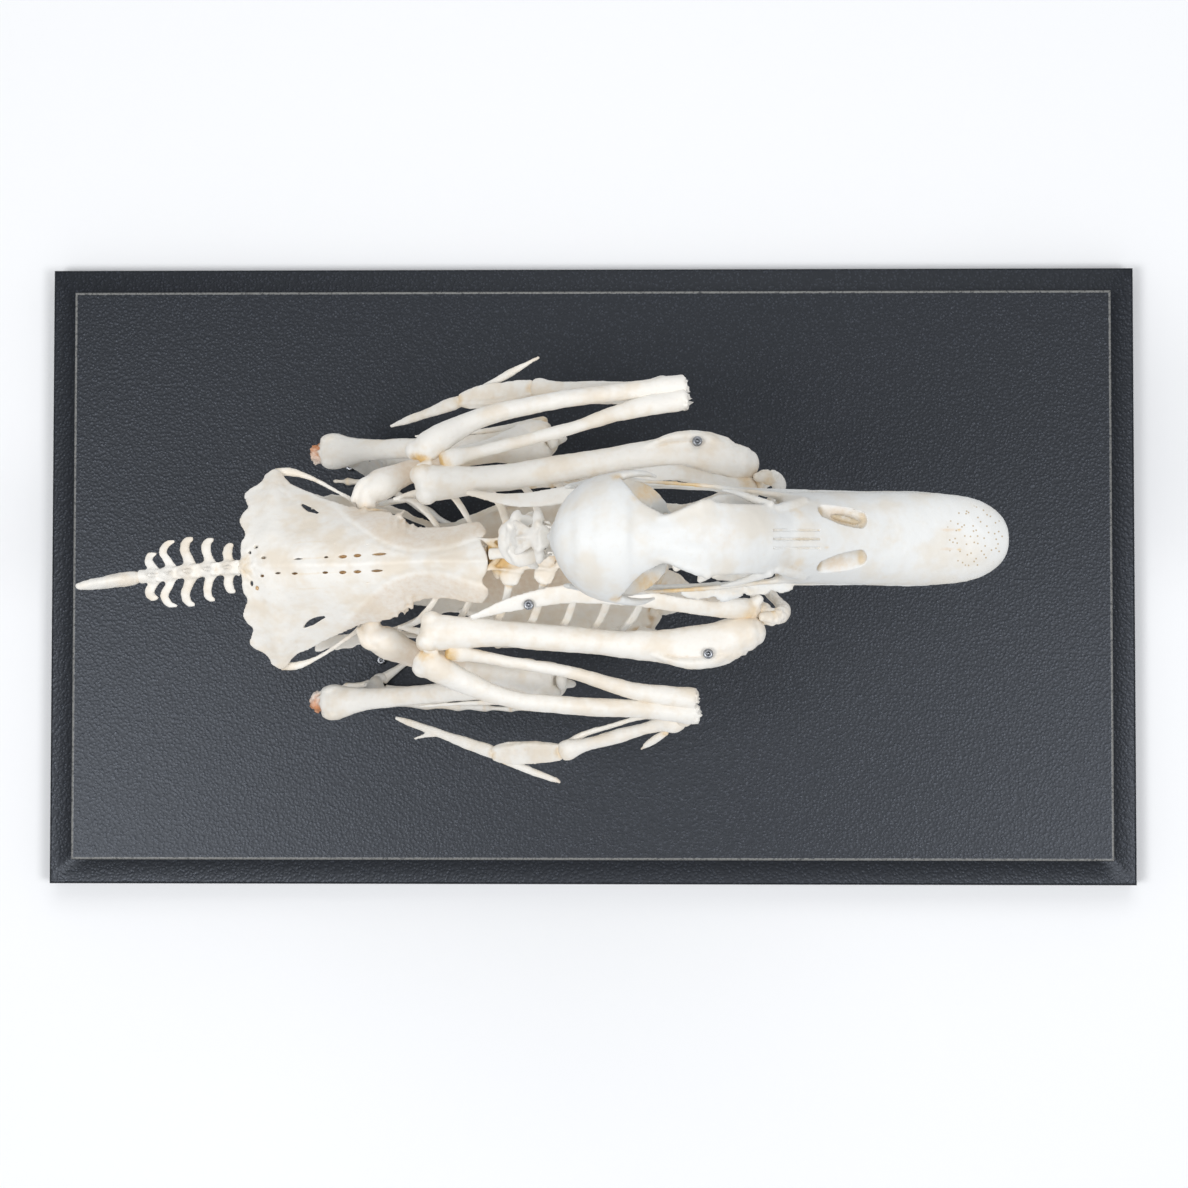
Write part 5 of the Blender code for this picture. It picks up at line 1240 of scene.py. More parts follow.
    def build(self) -> None:
        """Builds the trunk's pieces."""
        self.spine()
        for side in Side:
            self.rib_cage(side)
        self.sternum()
        self.furcula()


@dataclass
class Hips:
    """Pelvis, free tail vertebrae and the ploughshare bone that ends the tail."""

    shop: Workshop
    midline: Rows = ((-27, -2.0), (-36, -1.7), (-48, -1.1), (-66, -1.1), (-85, -0.6), (-96, 0.0))
    front: float = -27.4
    rear: float = -104.0
    hip: Place = (-66.0, 16.8, 137.5)
    widths: Rows = ((-27.4, 10.6), (-29, 12.0), (-33, 12.2), (-38, 11.2), (-46, 10.9), (-51, 12.0), (-54, 14.2),
        (-58, 16.2), (-62, 16.9), (-68, 17.6), (-73, 19.6), (-79, 21.8), (-86, 25.0), (-91, 27.6), (-93.4, 30.4),
        (-95.5, 31.8), (-98.4, 31.0), (-104, 31.4))
    middle: Rows = ((-27.4, 166), (-41, 164.5), (-54, 162.4), (-72, 160), (-85, 157.3), (-97, 153), (-104, 150))
    edge: Rows = ((-27.4, 159), (-41, 155), (-54, 149), (-66, 144), (-72, 141.5), (-85, 134.5), (-97, 129),
        (-104, 127.6))
    ridge: Rows = ((-27, 6.0), (-31, 5.8), (-36, 4.0), (-41, 2.8), (-47, 2.2), (-52, 2.5), (-57.5, 4.3), (-62.5, 7.2),
        (-66.5, 10.4), (-70.5, 13.6), (-74, 17), (-78, 22), (-104, 31))
    rear_margin: Rows = ((0, -103.6), (0.2, -104.0), (0.26, -103.6), (0.31, -102.6), (0.38, -103.4), (0.46, -104.6),
        (0.54, -103.6), (0.6, -102.1), (0.66, -102.9), (0.72, -103.9), (0.78, -102.8), (0.86, -99.4), (0.9, -98.5),
        (0.95, -98.2), (1.0, -94.4))
    tail_end: float = -136.4
    tail: Rows = ((-108.0, -0.1, 148.6, 7.2, -0.2, 0.6), (-114.0, -0.3, 147.8, 9.3, -0.8, 0.2),
        (-120.4, -0.6, 146.6, 10.2, -1.4, 0.2), (-126.4, -0.9, 145.0, 10.0, -2.2, 0.4),
        (-131.8, -1.3, 143.2, 6.9, -1.6, -0.2))

    def roof(self, along: np.ndarray, across: np.ndarray, offset: float) -> np.ndarray:
        """The hip roof: a plateau between two ridge lines, troughs outside them in front, a flaring dome behind.

        Args:
            along: Shares from front to rear.
            across: Shares from right to left.
            offset: How far the skin is raised.

        Returns:
            Points, x y z first.
        """
        share = 2 * across - 1
        out = np.abs(share)
        front = self.front - 1.9 * bell(out, 0.5, 0.2) - 2.6 * climb(out, 0.82, 0.18) ** 2
        x = front + (eased(out, self.rear_margin) - front) * along
        width = eased(x, self.widths)
        middle, edge = eased(x, self.middle), eased(x, self.edge)
        notch = ((0.07 * np.sin(2.6 * x + 1.5 * np.sign(share)) + 0.05 * np.sin(5.3 * x)) * bell(x, -53.5, 4.0)
            * out ** 4)
        away = out * width
        ridge = eased(x, self.ridge)
        dome = middle + (edge - middle) * out ** 1.7
        level = middle + (edge - middle) * np.minimum(ridge / width, 1.0) ** 1.7
        part = np.clip((away - ridge) / np.maximum(width - ridge, 1.0), 0, 1)
        swell = 0.8 * np.sin(np.pi * climb(part, 0.12, 0.88)) - 0.8 * bell(part, 0, 0.1)
        lobe = level + (edge - level) * part ** 1.25 + swell * climb(x, -78, 12)
        inside = np.clip((ridge - away) / 0.8, -1, 1) * 0.5 + 0.5
        z = dome * inside + lobe * (1 - inside)
        crest = 0.35 * np.exp(-((away - ridge) / 0.7) ** 2) * climb(x, -76, 8)
        spine = 0.5 * bell(away, 0, 1.1)
        fossa = 1.1 * np.exp(-((x + 88) / 9) ** 2 - ((out - 0.55) / 0.2) ** 2)
        rim = 0.5 * climb(along, 0.94, 0.06) ** 2
        return np.stack((x, share * width * (1 + notch) + eased(x, self.midline),
            z + crest + spine - fossa + rim + offset))

    def pelvis(self) -> None:
        """Synsacrum and hip bones: roof, middle bar with its side struts, hip sockets and pubic rods."""
        hx, hy, hz = self.hip
        parts = [sheet(lambda u, v: self.roof(u, v, 0.65), lambda u, v: self.roof(u, v, -0.65), 170, 150)]
        parts.append(tube(((self.front, -0.6, 160, 4.0, 4.0), (-50, -0.8, 157, 4.4, 4.2), (-75, -0.9, 154.6, 4.2, 3.8),
            (self.rear, -0.3, 148.4, 2.7, 2.7)), 80, 24, blunt=0))
        cuts = [tube(((-30, -0.8, 163.4, 3.0, 0.9), (-52, -0.8, 160.4, 2.2, 0.5)), 12, 14)]
        for number in range(11):
            x = -33.5 - 6.2 * number
            middle, edge, width, ridge, shift = (read(x, table)
                for table in (self.middle, self.edge, self.widths, self.ridge, self.midline))
            reach = min(ridge + 2.2, 10.5)
            end = middle + (edge - middle) * (reach / width) ** 1.3 - 2.6
            for sign in (1, -1):
                parts.append(tube([(x, shift + 2.0 * sign, middle - 5.4, 1.1, 0.8),
                    (x - 0.4, shift + reach * 0.6 * sign, end - 1.6, 0.8, 0.6),
                    (x - 0.6, shift + reach * sign, end, 1.3, 0.9)], 14, 10))
        for side in Side:
            socket = ((hx, 12.4, hz, 6.3, 6.3), (hx, 15.0, hz, 6.5, 6.5), (hx, hy, hz, 6.9, 6.9))
            parts.append(tube(socket, 16, 40, blunt=0).on(side))
            parts.append(blob((hx - 4.4, hy - 1.0, hz + 2.4), (4.2, 2.2, 2.6)).on(side))
            parts.append(tube(((hx + 1.0, 6.0, 152.6, 4.2, 1.4), (hx + 0.4, 10.0, 146.6, 4.0, 1.2),
                (hx, 14.4, 141.4, 4.4, 1.2)), 24, 18, up=(1, 0, 0)).on(side))
            parts.append(tube(((-66.5, 16.2, 134.6, 1.3, 1.6), (-71.0, 20.4, 132.8, 0.8, 0.9),
                (-76, 23.6, 131.0, 0.6, 0.8), (-82, 27.2, 129.8, 0.7, 0.8), (-87, 29.4, 129.0, 1.0, 0.8),
                (-91.0, 30.4, 128.9, 1.3, 0.9), (-95.0, 30.4, 129.0, 1.3, 0.9)), 70, 14).on(side))
            parts.append(tube(((-56.5, 11.5, 150, 2.0, 1.4), (-54.6, 14.0, 148.6, 1.2, 0.9),
                (-53.8, 15.4, 147.8, 0.8, 0.7)), 16, 12).on(side))
            cuts.append(tube(((hx, 9.4, hz, 4.5, 4.5), (hx, 21.0, hz, 4.7, 4.7)), 6, 36, blunt=0).on(side))
        cuts.append(tube(((-86.0, 19.3, 143, 0.3, 5), (-83.6, 17.6, 144, 0.8, 5), (-80.6, 16.0, 146, 0.3, 5)), 16, 14))
        cuts.append(tube(((-86.0, -18.9, 143, 0.35, 5), (-82.8, -17.2, 144, 1.0, 5), (-78.6, -16.0, 146, 0.3, 5)), 16,
            14))
        pits = [(-71.6, 1.4, 1.3, 0.55), (-67.1, 1.5, 1.1, 0.5), (-60.4, 1.6, 2.3, 0.5), (-76.7, 1.4, 0.8, 0.35),
            (-85.3, 1.3, 1.6, 0.3), (-71.8, -3.4, 1.1, 0.5), (-67.2, -3.4, 1.2, 0.5), (-61.2, -3.4, 1.8, 0.35),
            (-77.2, -3.2, 0.9, 0.35), (-86.7, -3.0, 1.0, 0.35), (-92.0, -2.6, 1.0, 0.3), (-99.0, 5.9, 0.9, 0.7),
            (-100.9, 4.2, 0.5, 0.6), (-96.4, 2.3, 1.0, 0.5), (-97.1, -3.1, 0.8, 0.6), (-100.7, -5.2, 0.5, 0.9),
            (-99.1, -6.8, 0.7, 0.8), (-74.1, 5.4, 0.45, 0.4), (-64.4, -6.8, 1.2, 0.4), (-64.0, 4.8, 1.0, 0.4)]
        marks = []
        for x, y, long, wide in pits:
            z = read(x, self.middle) - 0.2
            cuts.append(blob((x, y, z), (long, wide, 2.2), None, 12, 12))
            # Each pit is cut, and its inside gets painted shade.
            marks.append(Mark(Tint.DARK, (x, y, z), (long + 0.35, wide + 0.35, 2.2), 0.9))
        for y, start, end in ((6.4, -99, -64), (-7.7, -99, -66)):
            marks.append(amber(((start + end) / 2, y, 155.5), ((end - start) / 1.9, 0.7, 5), 0.3))
        for y in (1.3, -3.3):
            marks.append(amber((-80, y, 158), (22, 0.8, 6), 0.32))
        for sign in (1, -1):
            marks += [amber((-27.6, 6.4 * sign - 1, 160), (2.4, 4, 5), 0.7),
                amber((-64, 16.8 * sign, 143), (7, 4, 4), 0.5), amber((-95, 31 * sign, 129), (4, 3, 3), 0.4)]
        marks.append(amber((-102, -0.4, 151), (4.5, 8.5, 4), 0.45))
        surface = melted(parts, 0.5, cuts)
        crumbles = [Crumble((-53.0, 14.4 * sign - 0.5, 148.4), 5.0, 0.9, 1.9) for sign in (1, -1)]
        crumbles += [Crumble((-102.5, -0.5, 150.5), 9.0, 0.35, 1.5)]
        # Painted shade: the troughs outside the ridge lines get a pinkish beige tint.
        x, y = surface.points[:, 0], surface.points[:, 1]
        beyond = np.abs(y - eased(x, self.midline)) - eased(x, self.ridge)
        lobe_shade = 0.5 * np.clip(beyond / 2.4, 0, 1) * climb(x, -80, 10)
        self.shop.bone_piece("pelvis", surface, marks, crumbles, rough=0.13, blush=lobe_shade)

    def tail_bones(self) -> None:
        """Free tail vertebrae, their cross processes curved so that the tips point forward again."""
        core = [(self.rear - 0.35, -0.2, 148.4, 2.6, 2.3)]
        parts, marks = [], []
        for number, (x, y, z, reach, middle, tip) in enumerate(self.tail):
            core += [(x + 2.2, y, z + 0.1, 2.0, 2.1), (x, y, z, 2.7, 2.5), (x - 2.0, y, z - 0.2, 2.1, 2.1)]
            for sign in (1, -1):
                parts.append(tube([(x + 0.9, y, z + 0.2, 2.4, 1.1),
                    (x + 0.2 + middle * 0.3, y + sign * reach * 0.36, z, 1.5, 0.8),
                    (x + middle, y + sign * reach * 0.68, z - 0.6, 1.45, 0.7),
                    (x + middle * 0.55 + tip, y + sign * reach * 0.93, z - 1.3, 1.25, 0.6),
                    (x + 0.9 + tip, y + sign * reach * 1.0, z - 1.5, 0.6, 0.4)], 34, 14))
                parts.append(tube([(x + 1.4, y + 1.2 * sign, z + 1.8, 0.9, 0.8),
                    (x + 3.2, y + 1.7 * sign, z + 2.2, 0.5, 0.5)], 10, 10))
            parts.append(tube([(x + 1.0, y, z + 1.2, 0.9, 1.4), (x - 0.2, y, z + 3.2, 0.7, 1.1),
                (x - 0.8, y, z + 4.6, 0.5, 0.7)], 14, 12, up=(1, 0, 0)))
            if number > 1:
                parts.append(tube([(x, y, z - 1.6, 0.9, 1.0), (x + 0.6, y, z - 4.0, 0.6, 0.8)], 10, 10, up=(1, 0, 0)))
            marks.append(amber((x + 3.1, y, z), (1.8, 3.4, 3.4), 0.7))
        core.append((self.tail_end, -1.5, 142.4, 2.1, 2.1))
        parts.append(tube(core, 110, 22, blunt=0))
        self.shop.bone_piece("tail_vertebrae", melted(parts, 0.4), marks, rough=0.2)
        rows = ((self.tail_end - 0.35, -1.5, 142.4, 1.9, 2.3), (-139, -1.7, 142.5, 2.4, 3.6),
            (-141, -1.9, 142.6, 2.4, 4.6), (-146, -2.5, 143.0, 1.9, 4.4), (-151.6, -3.2, 143.6, 1.4, 2.6),
            (-155.4, -3.8, 144.4, 0.8, 1.1))
        end = melted([tube(rows, 50, 20, blunt=0.4)], 0.4)
        self.shop.bone_piece("pygostyle", end, [amber((-137, -1.5, 142.4), (2.4, 3.4, 4), 0.7)], rough=0.25)

    def build(self) -> None:
        """Builds the three pieces."""
        self.pelvis()
        self.tail_bones()


@dataclass
class Wing:
    """One folded wing with its shoulder bones, in the trunk's frame."""

    shop: Workshop
    side: Side
    shoulder: Place = (52.4, 25.6, 145.0)
    elbow: Place = (-46.5, 22.6, 160.0)
    courses: dict[Side, dict[str, Rows]] = field(default_factory=lambda: {
        Side.LEFT: {
            "ulna": ((-48.4, 31.6, 157), (-46.0, 33.2, 157.6), (-32, 41.2, 154), (-10.4, 46.6, 149), (13.8, 49.8, 142),
                     (33.6, 51.8, 137)),
            "radius": ((-40.6, 29.2, 159), (-23.2, 33.4, 153.6), (-2.5, 38.4, 148.6), (19.8, 45.0, 142),
                       (33.6, 47.2, 138.8)),
        },
        Side.RIGHT: {
            "ulna": ((-49.6, 29.4, 157), (-47.0, 31.4, 157.4), (-39.4, 36.2, 154.6), (-26.2, 42.4, 150.6),
                     (-5.7, 46.0, 146), (18.7, 48.2, 140), (33.2, 50.0, 136.6)),
            "radius": ((-41.0, 28.2, 158.6), (-25.6, 31.6, 153.6), (-5.2, 35.8, 148.4), (16.5, 42.8, 142),
                       (33.2, 45.6, 138.6)),
        }})
    hand: dict[str, Sequence[Rows]] = field(default_factory=lambda: {
        "carpals": (((30.8, 49.6, 132.0), (30.2, 51.6, 128.2)), ((30.8, 49.0, 132.0), (29.8, 50.6, 128.2))),
        "carpometacarpus": (((29.4, 52.2, 126.6), (-13.4, 55.6, 111.0)), ((28.6, 51.4, 126.6), (-8.6, 60.2, 111.0))),
        "wing_digit_plate": (((-14.6, 55.6, 110.4), (-38.2, 54.2, 96.4)), ((-9.8, 60.4, 110.6), (-31.6, 60.2, 96.0))),
        "wing_digit_tip": (((-38.6, 54.0, 96.0), (-62.6, 48.4, 80.0)), ((-31.8, 60.0, 95.8), (-64.4, 47.6, 78.0))),
        "minor_digit": (((-33.0, 56.6, 97.8), (-12.4, 66.2, 104.0)), ((-28.6, 62.6, 97.8), (-10.6, 70.0, 104.0))),
        "alula": (((23.0, 48.2, 119.6), (11.0, 49.4, 114.4)), ((24.0, 55.4, 123.8), (15.8, 60.4, 117.2))),
    })

    def shaft(self, start: Place, end: Place, profile: Rows, rings: int = 80, sides: int = 26,
            up: Place = (0, 0, 1)) -> Surface:
        """A limb bone between two points of the left side.

        Args:
            start: Where it begins.
            end: Where it ends.
            profile: Rows of (share of the length, half width, half depth, bow outwards).
            rings: How many rings.
            sides: How many points each.
            up: The direction of the depth.

        Returns:
            The surface, on the left.
        """
        table = np.asarray(profile, float)
        first, last = np.asarray(start, float), np.asarray(end, float)
        places = first + (last - first) * table[:, :1] + np.outer(table[:, 3], (0, 1, 0))
        return tube(np.column_stack((places, table[:, 1:3])), rings, sides, up, blunt=0.7)

    def along(self, kind: str, profile: Rows, rings: int, sides: int) -> Surface:
        """A bone that follows one of this side's measured courses and ends in a flat, broken face.

        Args:
            kind: Which course.
            profile: Rows of (share of the length, half width, half depth).
            rings: How many rings.
            sides: How many points each.

        Returns:
            The surface, on the left.
        """
        path = spline(self.courses[self.side][kind], rings)
        shares = np.linspace(0, 1, rings)
        wide = eased(shares, [(row[0], row[1]) for row in profile])
        deep = eased(shares, [(row[0], row[2]) for row in profile])
        return tube(np.column_stack((path, wide, deep)), rings, sides, blunt=0.25)

    def make(self, kind: str, parts: Sequence[Surface], marks: Sequence[Mark] = (), crumbles: Sequence[Crumble] = (),
            voxel: float = 0.45, cuts: Sequence[Surface] = (), rough: float = 0.13) -> None:
        """Turns left-side parts into this side's piece.

        Args:
            kind: The bone's name without its side.
            parts: Closed surfaces on the left.
            marks: Tinted patches on the left.
            crumbles: Rough patches on the left.
            voxel: The remesh's cell size.
            cuts: Closed surfaces taken away.
            rough: Height of its relief.
        """
        parts, cuts, marks, crumbles = ([item.on(self.side) for item in items]
            for items in (parts, cuts, marks, crumbles))
        self.shop.bone_piece(f"{kind}_{self.side.label}", melted(parts, voxel, cuts), marks, crumbles, rough=rough)

    def shoulder_bones(self) -> None:
        """The coracoid strut, with its hooked head and spread foot, and the blade of the scapula."""
        profile = ((0.0, 3.0, 3.0, 0), (0.07, 3.8, 3.8, 0), (0.16, 3.0, 3.2, 0), (0.45, 2.5, 2.6, 0),
            (0.72, 3.8, 2.0, 0), (0.9, 7.0, 1.5, 0), (1.0, 7.7, 1.3, 0))
        parts = [self.shaft((55.6, 20.2, 143.6), (24.6, 10.4, 98.6), profile)]
        parts.append(tube(((54.0, 18.6, 141.0, 1.8, 1.6), (52.6, 15.0, 140.4, 1.3, 1.2), (52.0, 12.6, 141.6, 0.8, 0.8)),
            20, 14))
        parts.append(blob((57.2, 21.2, 145.0), (3.2, 2.8, 2.6)))
        self.make("coracoid", parts, [amber((54, 20, 144), (6, 6, 6), 0.6), amber((26, 11, 100), (6, 9, 5), 0.5),
            Mark(Tint.BLUSH, (40, 15, 120), (16, 10, 18), 0.5)], [Crumble((56, 20.4, 144.6), 6.0, 0.5, 1.5)])
        blade = {
            Side.LEFT: ((52.0, 19.0, 145.2, 3.4, 3.0), (47.0, 18.8, 148.4, 3.2, 2.6), (41, 20.2, 152, 2.8, 1.7),
                        (31, 22.8, 157.4, 2.7, 1.2), (17, 21.6, 162.6, 2.8, 0.9), (0, 17.6, 166.4, 2.8, 0.8),
                        (-18, 15.8, 167.6, 2.4, 0.7), (-33.0, 18.8, 166.6, 0.9, 0.5)),
            Side.RIGHT: ((52.0, 19.0, 145.2, 3.4, 3.0), (47.0, 18.4, 148.4, 3.2, 2.6), (41, 18.6, 152, 2.6, 1.7),
                         (33, 17.6, 157, 2.5, 1.2), (14, 14.4, 164.4, 2.7, 0.9), (-6, 13.0, 167.2, 2.9, 0.8),
                         (-20, 15.2, 167.6, 2.4, 0.7), (-33.0, 18.8, 166.6, 0.9, 0.5)),
        }[self.side]
        parts = [tube(blade, 120, 22, up=(0, 0.35, 1))]
        parts.append(tube(((51.6, 18.2, 146.6, 2.0, 1.8), (54.0, 15.6, 147.8, 1.4, 1.2)), 12, 14))
        self.make("scapula", parts, [amber((50, 19, 147), (6, 6, 5), 0.6)], [Crumble((52, 19, 146), 5.0, 0.4, 1.5)])

    def upper_arm(self) -> None:
        """Humerus: domed head, crest that stands outwards, hollow under the head, two knuckles at the elbow."""
        profile = ((0.0, 4.4, 4.6, 0), (0.05, 5.8, 5.4, 1.2), (0.12, 6.8, 4.8, 3.9), (0.2, 6.5, 4.1, 4.8),
            (0.29, 5.0, 3.9, 4.5), (0.4, 4.2, 3.8, 3.8), (0.64, 4.0, 3.7, 1.6), (0.82, 4.1, 3.7, 0.1),
            (0.93, 5.2, 4.2, 0), (0.98, 5.3, 4.5, 0), (1.0, 4.6, 4.0, 0))
        parts = [self.shaft(self.shoulder, self.elbow, profile, 140, 36)]
        parts.append(blob((50.6, 26.4, 146.4), (3.6, 5.0, 4.6)))
        parts.append(tube(((47.0, 30.4, 147.0, 1.6, 3.0), (39.0, 33.8, 148.6, 2.2, 3.2), (30.0, 34.4, 150.4, 1.6, 2.6),
            (21.0, 31.6, 151.8, 1.0, 1.6)), 40, 18))
        parts += [blob((-45.6, 19.2, 159.8), (3.4, 3.2, 3.4)), blob((-46.8, 25.2, 160.3), (3.8, 3.6, 3.8))]
        cuts = [blob((43.0, 22.0, 143.6), (4.0, 2.4, 2.6)), tube(((40, 28.4, 153.6, 1.4, 0.7),
            (30, 30.4, 155.0, 1.8, 0.9), (20, 30.2, 156.0, 1.2, 0.5)), 20, 14)]
        self.make("humerus", parts, [amber((-47, 26, 160), (5.5, 7, 6), 0.75), amber((50, 25, 145), (5, 5, 5), 0.5),
            Mark(Tint.BLUSH, (40, 30, 149), (12, 7, 6), 0.4)], [Crumble((48, 31, 146), 6.5, 0.55, 1.6)], cuts=cuts)

    def forearm(self) -> None:
        """Ulna and radius; their wrist ends are bare, white and crumbly."""
        ulna = ((0.0, 3.0, 3.2), (0.05, 4.5, 4.5), (0.12, 4.0, 4.0), (0.22, 3.2, 3.3), (0.35, 2.8, 2.9),
            (0.7, 2.75, 2.8), (0.88, 3.0, 3.0), (0.96, 3.4, 3.4), (1.0, 3.3, 3.4))
        parts = [self.along("ulna", ulna, 130, 28), blob((-48.6, 33.0, 156.6), (3.4, 3.0, 3.4))]
        parts.append(tube(((-45.0, 28.6, 159.2, 1.6, 1.8), (-47.6, 27.4, 161.4, 1.1, 1.2)), 12, 14))
        self.make("ulna", parts, [amber((-47, 29.6, 158), (6, 6, 6), 0.9)],
            [Crumble((35.6, 51.0, 137), 4.8, 2.1, 1.0), Crumble((-48, 32, 157), 5, 0.3, 2.0)])
        radius = ((0.0, 2.5, 2.6), (0.04, 3.0, 2.9), (0.1, 2.2, 2.2), (0.25, 1.9, 1.9), (0.5, 2.0, 2.0),
            (0.7, 2.4, 2.2), (0.86, 3.2, 2.5), (1.0, 3.5, 2.7))
        self.make("radius", [self.along("radius", radius, 120, 24)], [amber((-41, 29, 159), (6, 5, 5), 0.85)],
            [Crumble((35.6, 45.8, 138.5), 4.8, 2.1, 1.0)])

    def hand_bones(self) -> None:
        """Wrist bones, hand bone with its long slot, and the four finger pieces."""
        hand = {kind: pair[self.side is Side.RIGHT] for kind, pair in self.hand.items()}
        upper, lower = hand["carpals"]
        self.make("carpals", [blob(upper, (3.0, 4.4, 2.6)), blob(lower, (3.0, 3.2, 2.8))],
            [amber(upper, (5, 5, 5), 0.35)], [Crumble(upper, 6.0, 0.9, 1.5)], voxel=0.4)
        start, end = np.asarray(hand["carpometacarpus"], float)
        profile = ((0.0, 3.4, 2.6, 0), (0.06, 4.0, 3.2, 0), (0.16, 2.6, 2.4, 0), (0.5, 2.2, 2.1, 0),
            (0.88, 2.5, 2.2, 0), (0.97, 3.2, 2.4, 0), (1.0, 3.0, 2.2, 0))
        slim = [(*(start + (end - start) * share + (0, -out * 0.75, -out * 0.62)), wide, wide) for share, out,
            wide in ((0.1, 1.6, 1.5), (0.25, 4.4, 1.0), (0.6, 5.0, 0.9), (0.88, 4.0, 1.1), (0.98, 1.8, 1.4))]
        knob = start + (end - start) * 0.12 + (0, 0.6, -3.4)
        parts = [self.shaft(start, end, profile, 90, 22), tube(slim, 70, 16), blob(knob, (2.6, 2.0, 2.6))]
        self.make("carpometacarpus", parts, [amber(start, (5, 5, 5), 0.4), amber(end, (4, 4, 4), 0.6)],
            [Crumble(start, 5.0, 0.5, 1.5)])
        start, end = np.asarray(hand["wing_digit_plate"], float)
        profile = ((0.0, 2.8, 1.7, 0), (0.12, 3.2, 1.5, 0), (0.5, 3.8, 0.9, 0), (0.9, 3.2, 1.1, 0), (1.0, 2.4, 1.3, 0))
        rib = ((0.0, 1.2, 1.7, -1.6), (0.5, 1.0, 1.5, -2.4), (1.0, 1.2, 1.5, -1.0))
        self.make("wing_digit_plate", [self.shaft(start, end, profile, 60, 24), self.shaft(start, end, rib, 40, 14)],
            [amber(start, (3.5, 4, 3.5), 0.7), amber(end, (3.5, 4, 3.5), 0.6)], voxel=0.4)
        start, end = np.asarray(hand["wing_digit_tip"], float)
        profile = ((0.0, 1.9, 1.5, 0), (0.1, 2.1, 1.5, 0), (0.5, 1.4, 1.1, 0), (0.9, 0.9, 0.7, 0), (1.0, 0.5, 0.5, 0))
        parts = [self.shaft(start, end, profile, 60, 18)]
        if self.side is Side.RIGHT:
            middle = start + (end - start) * 0.55
            parts.append(tube([(*middle, 0.9, 0.8), (*(middle + (end - start) * 0.16 + (0, 2.6, 0.6)), 0.6, 0.5),
                (*(middle + (end - start) * 0.26 + (0, 4.6, 0.8)), 0.35, 0.35)], 24, 12))
        self.make("wing_digit_tip", parts, [amber(start, (3.5, 4, 3.5), 0.5)], voxel=0.4)
        profile = ((0.0, 1.0, 0.9, 0), (0.3, 1.2, 1.0, 0), (0.8, 0.9, 0.7, 0), (1.0, 0.4, 0.4, 0))
        for kind in ("minor_digit", "alula"):
            start, end = hand[kind]
            self.make(kind, [self.shaft(start, end, profile, 40, 16)],
                [amber(start, (3.5, 4, 3.5), 0.5), Mark(Tint.BLUSH, tuple(end), (5, 5, 5), 0.6)],
                [Crumble(end, 4.0, 0.35, 1.2)], voxel=0.35)

    def build(self) -> None:
        """Builds this side's wing."""
        self.shoulder_bones()
        self.upper_arm()
        self.forearm()
        self.hand_bones()


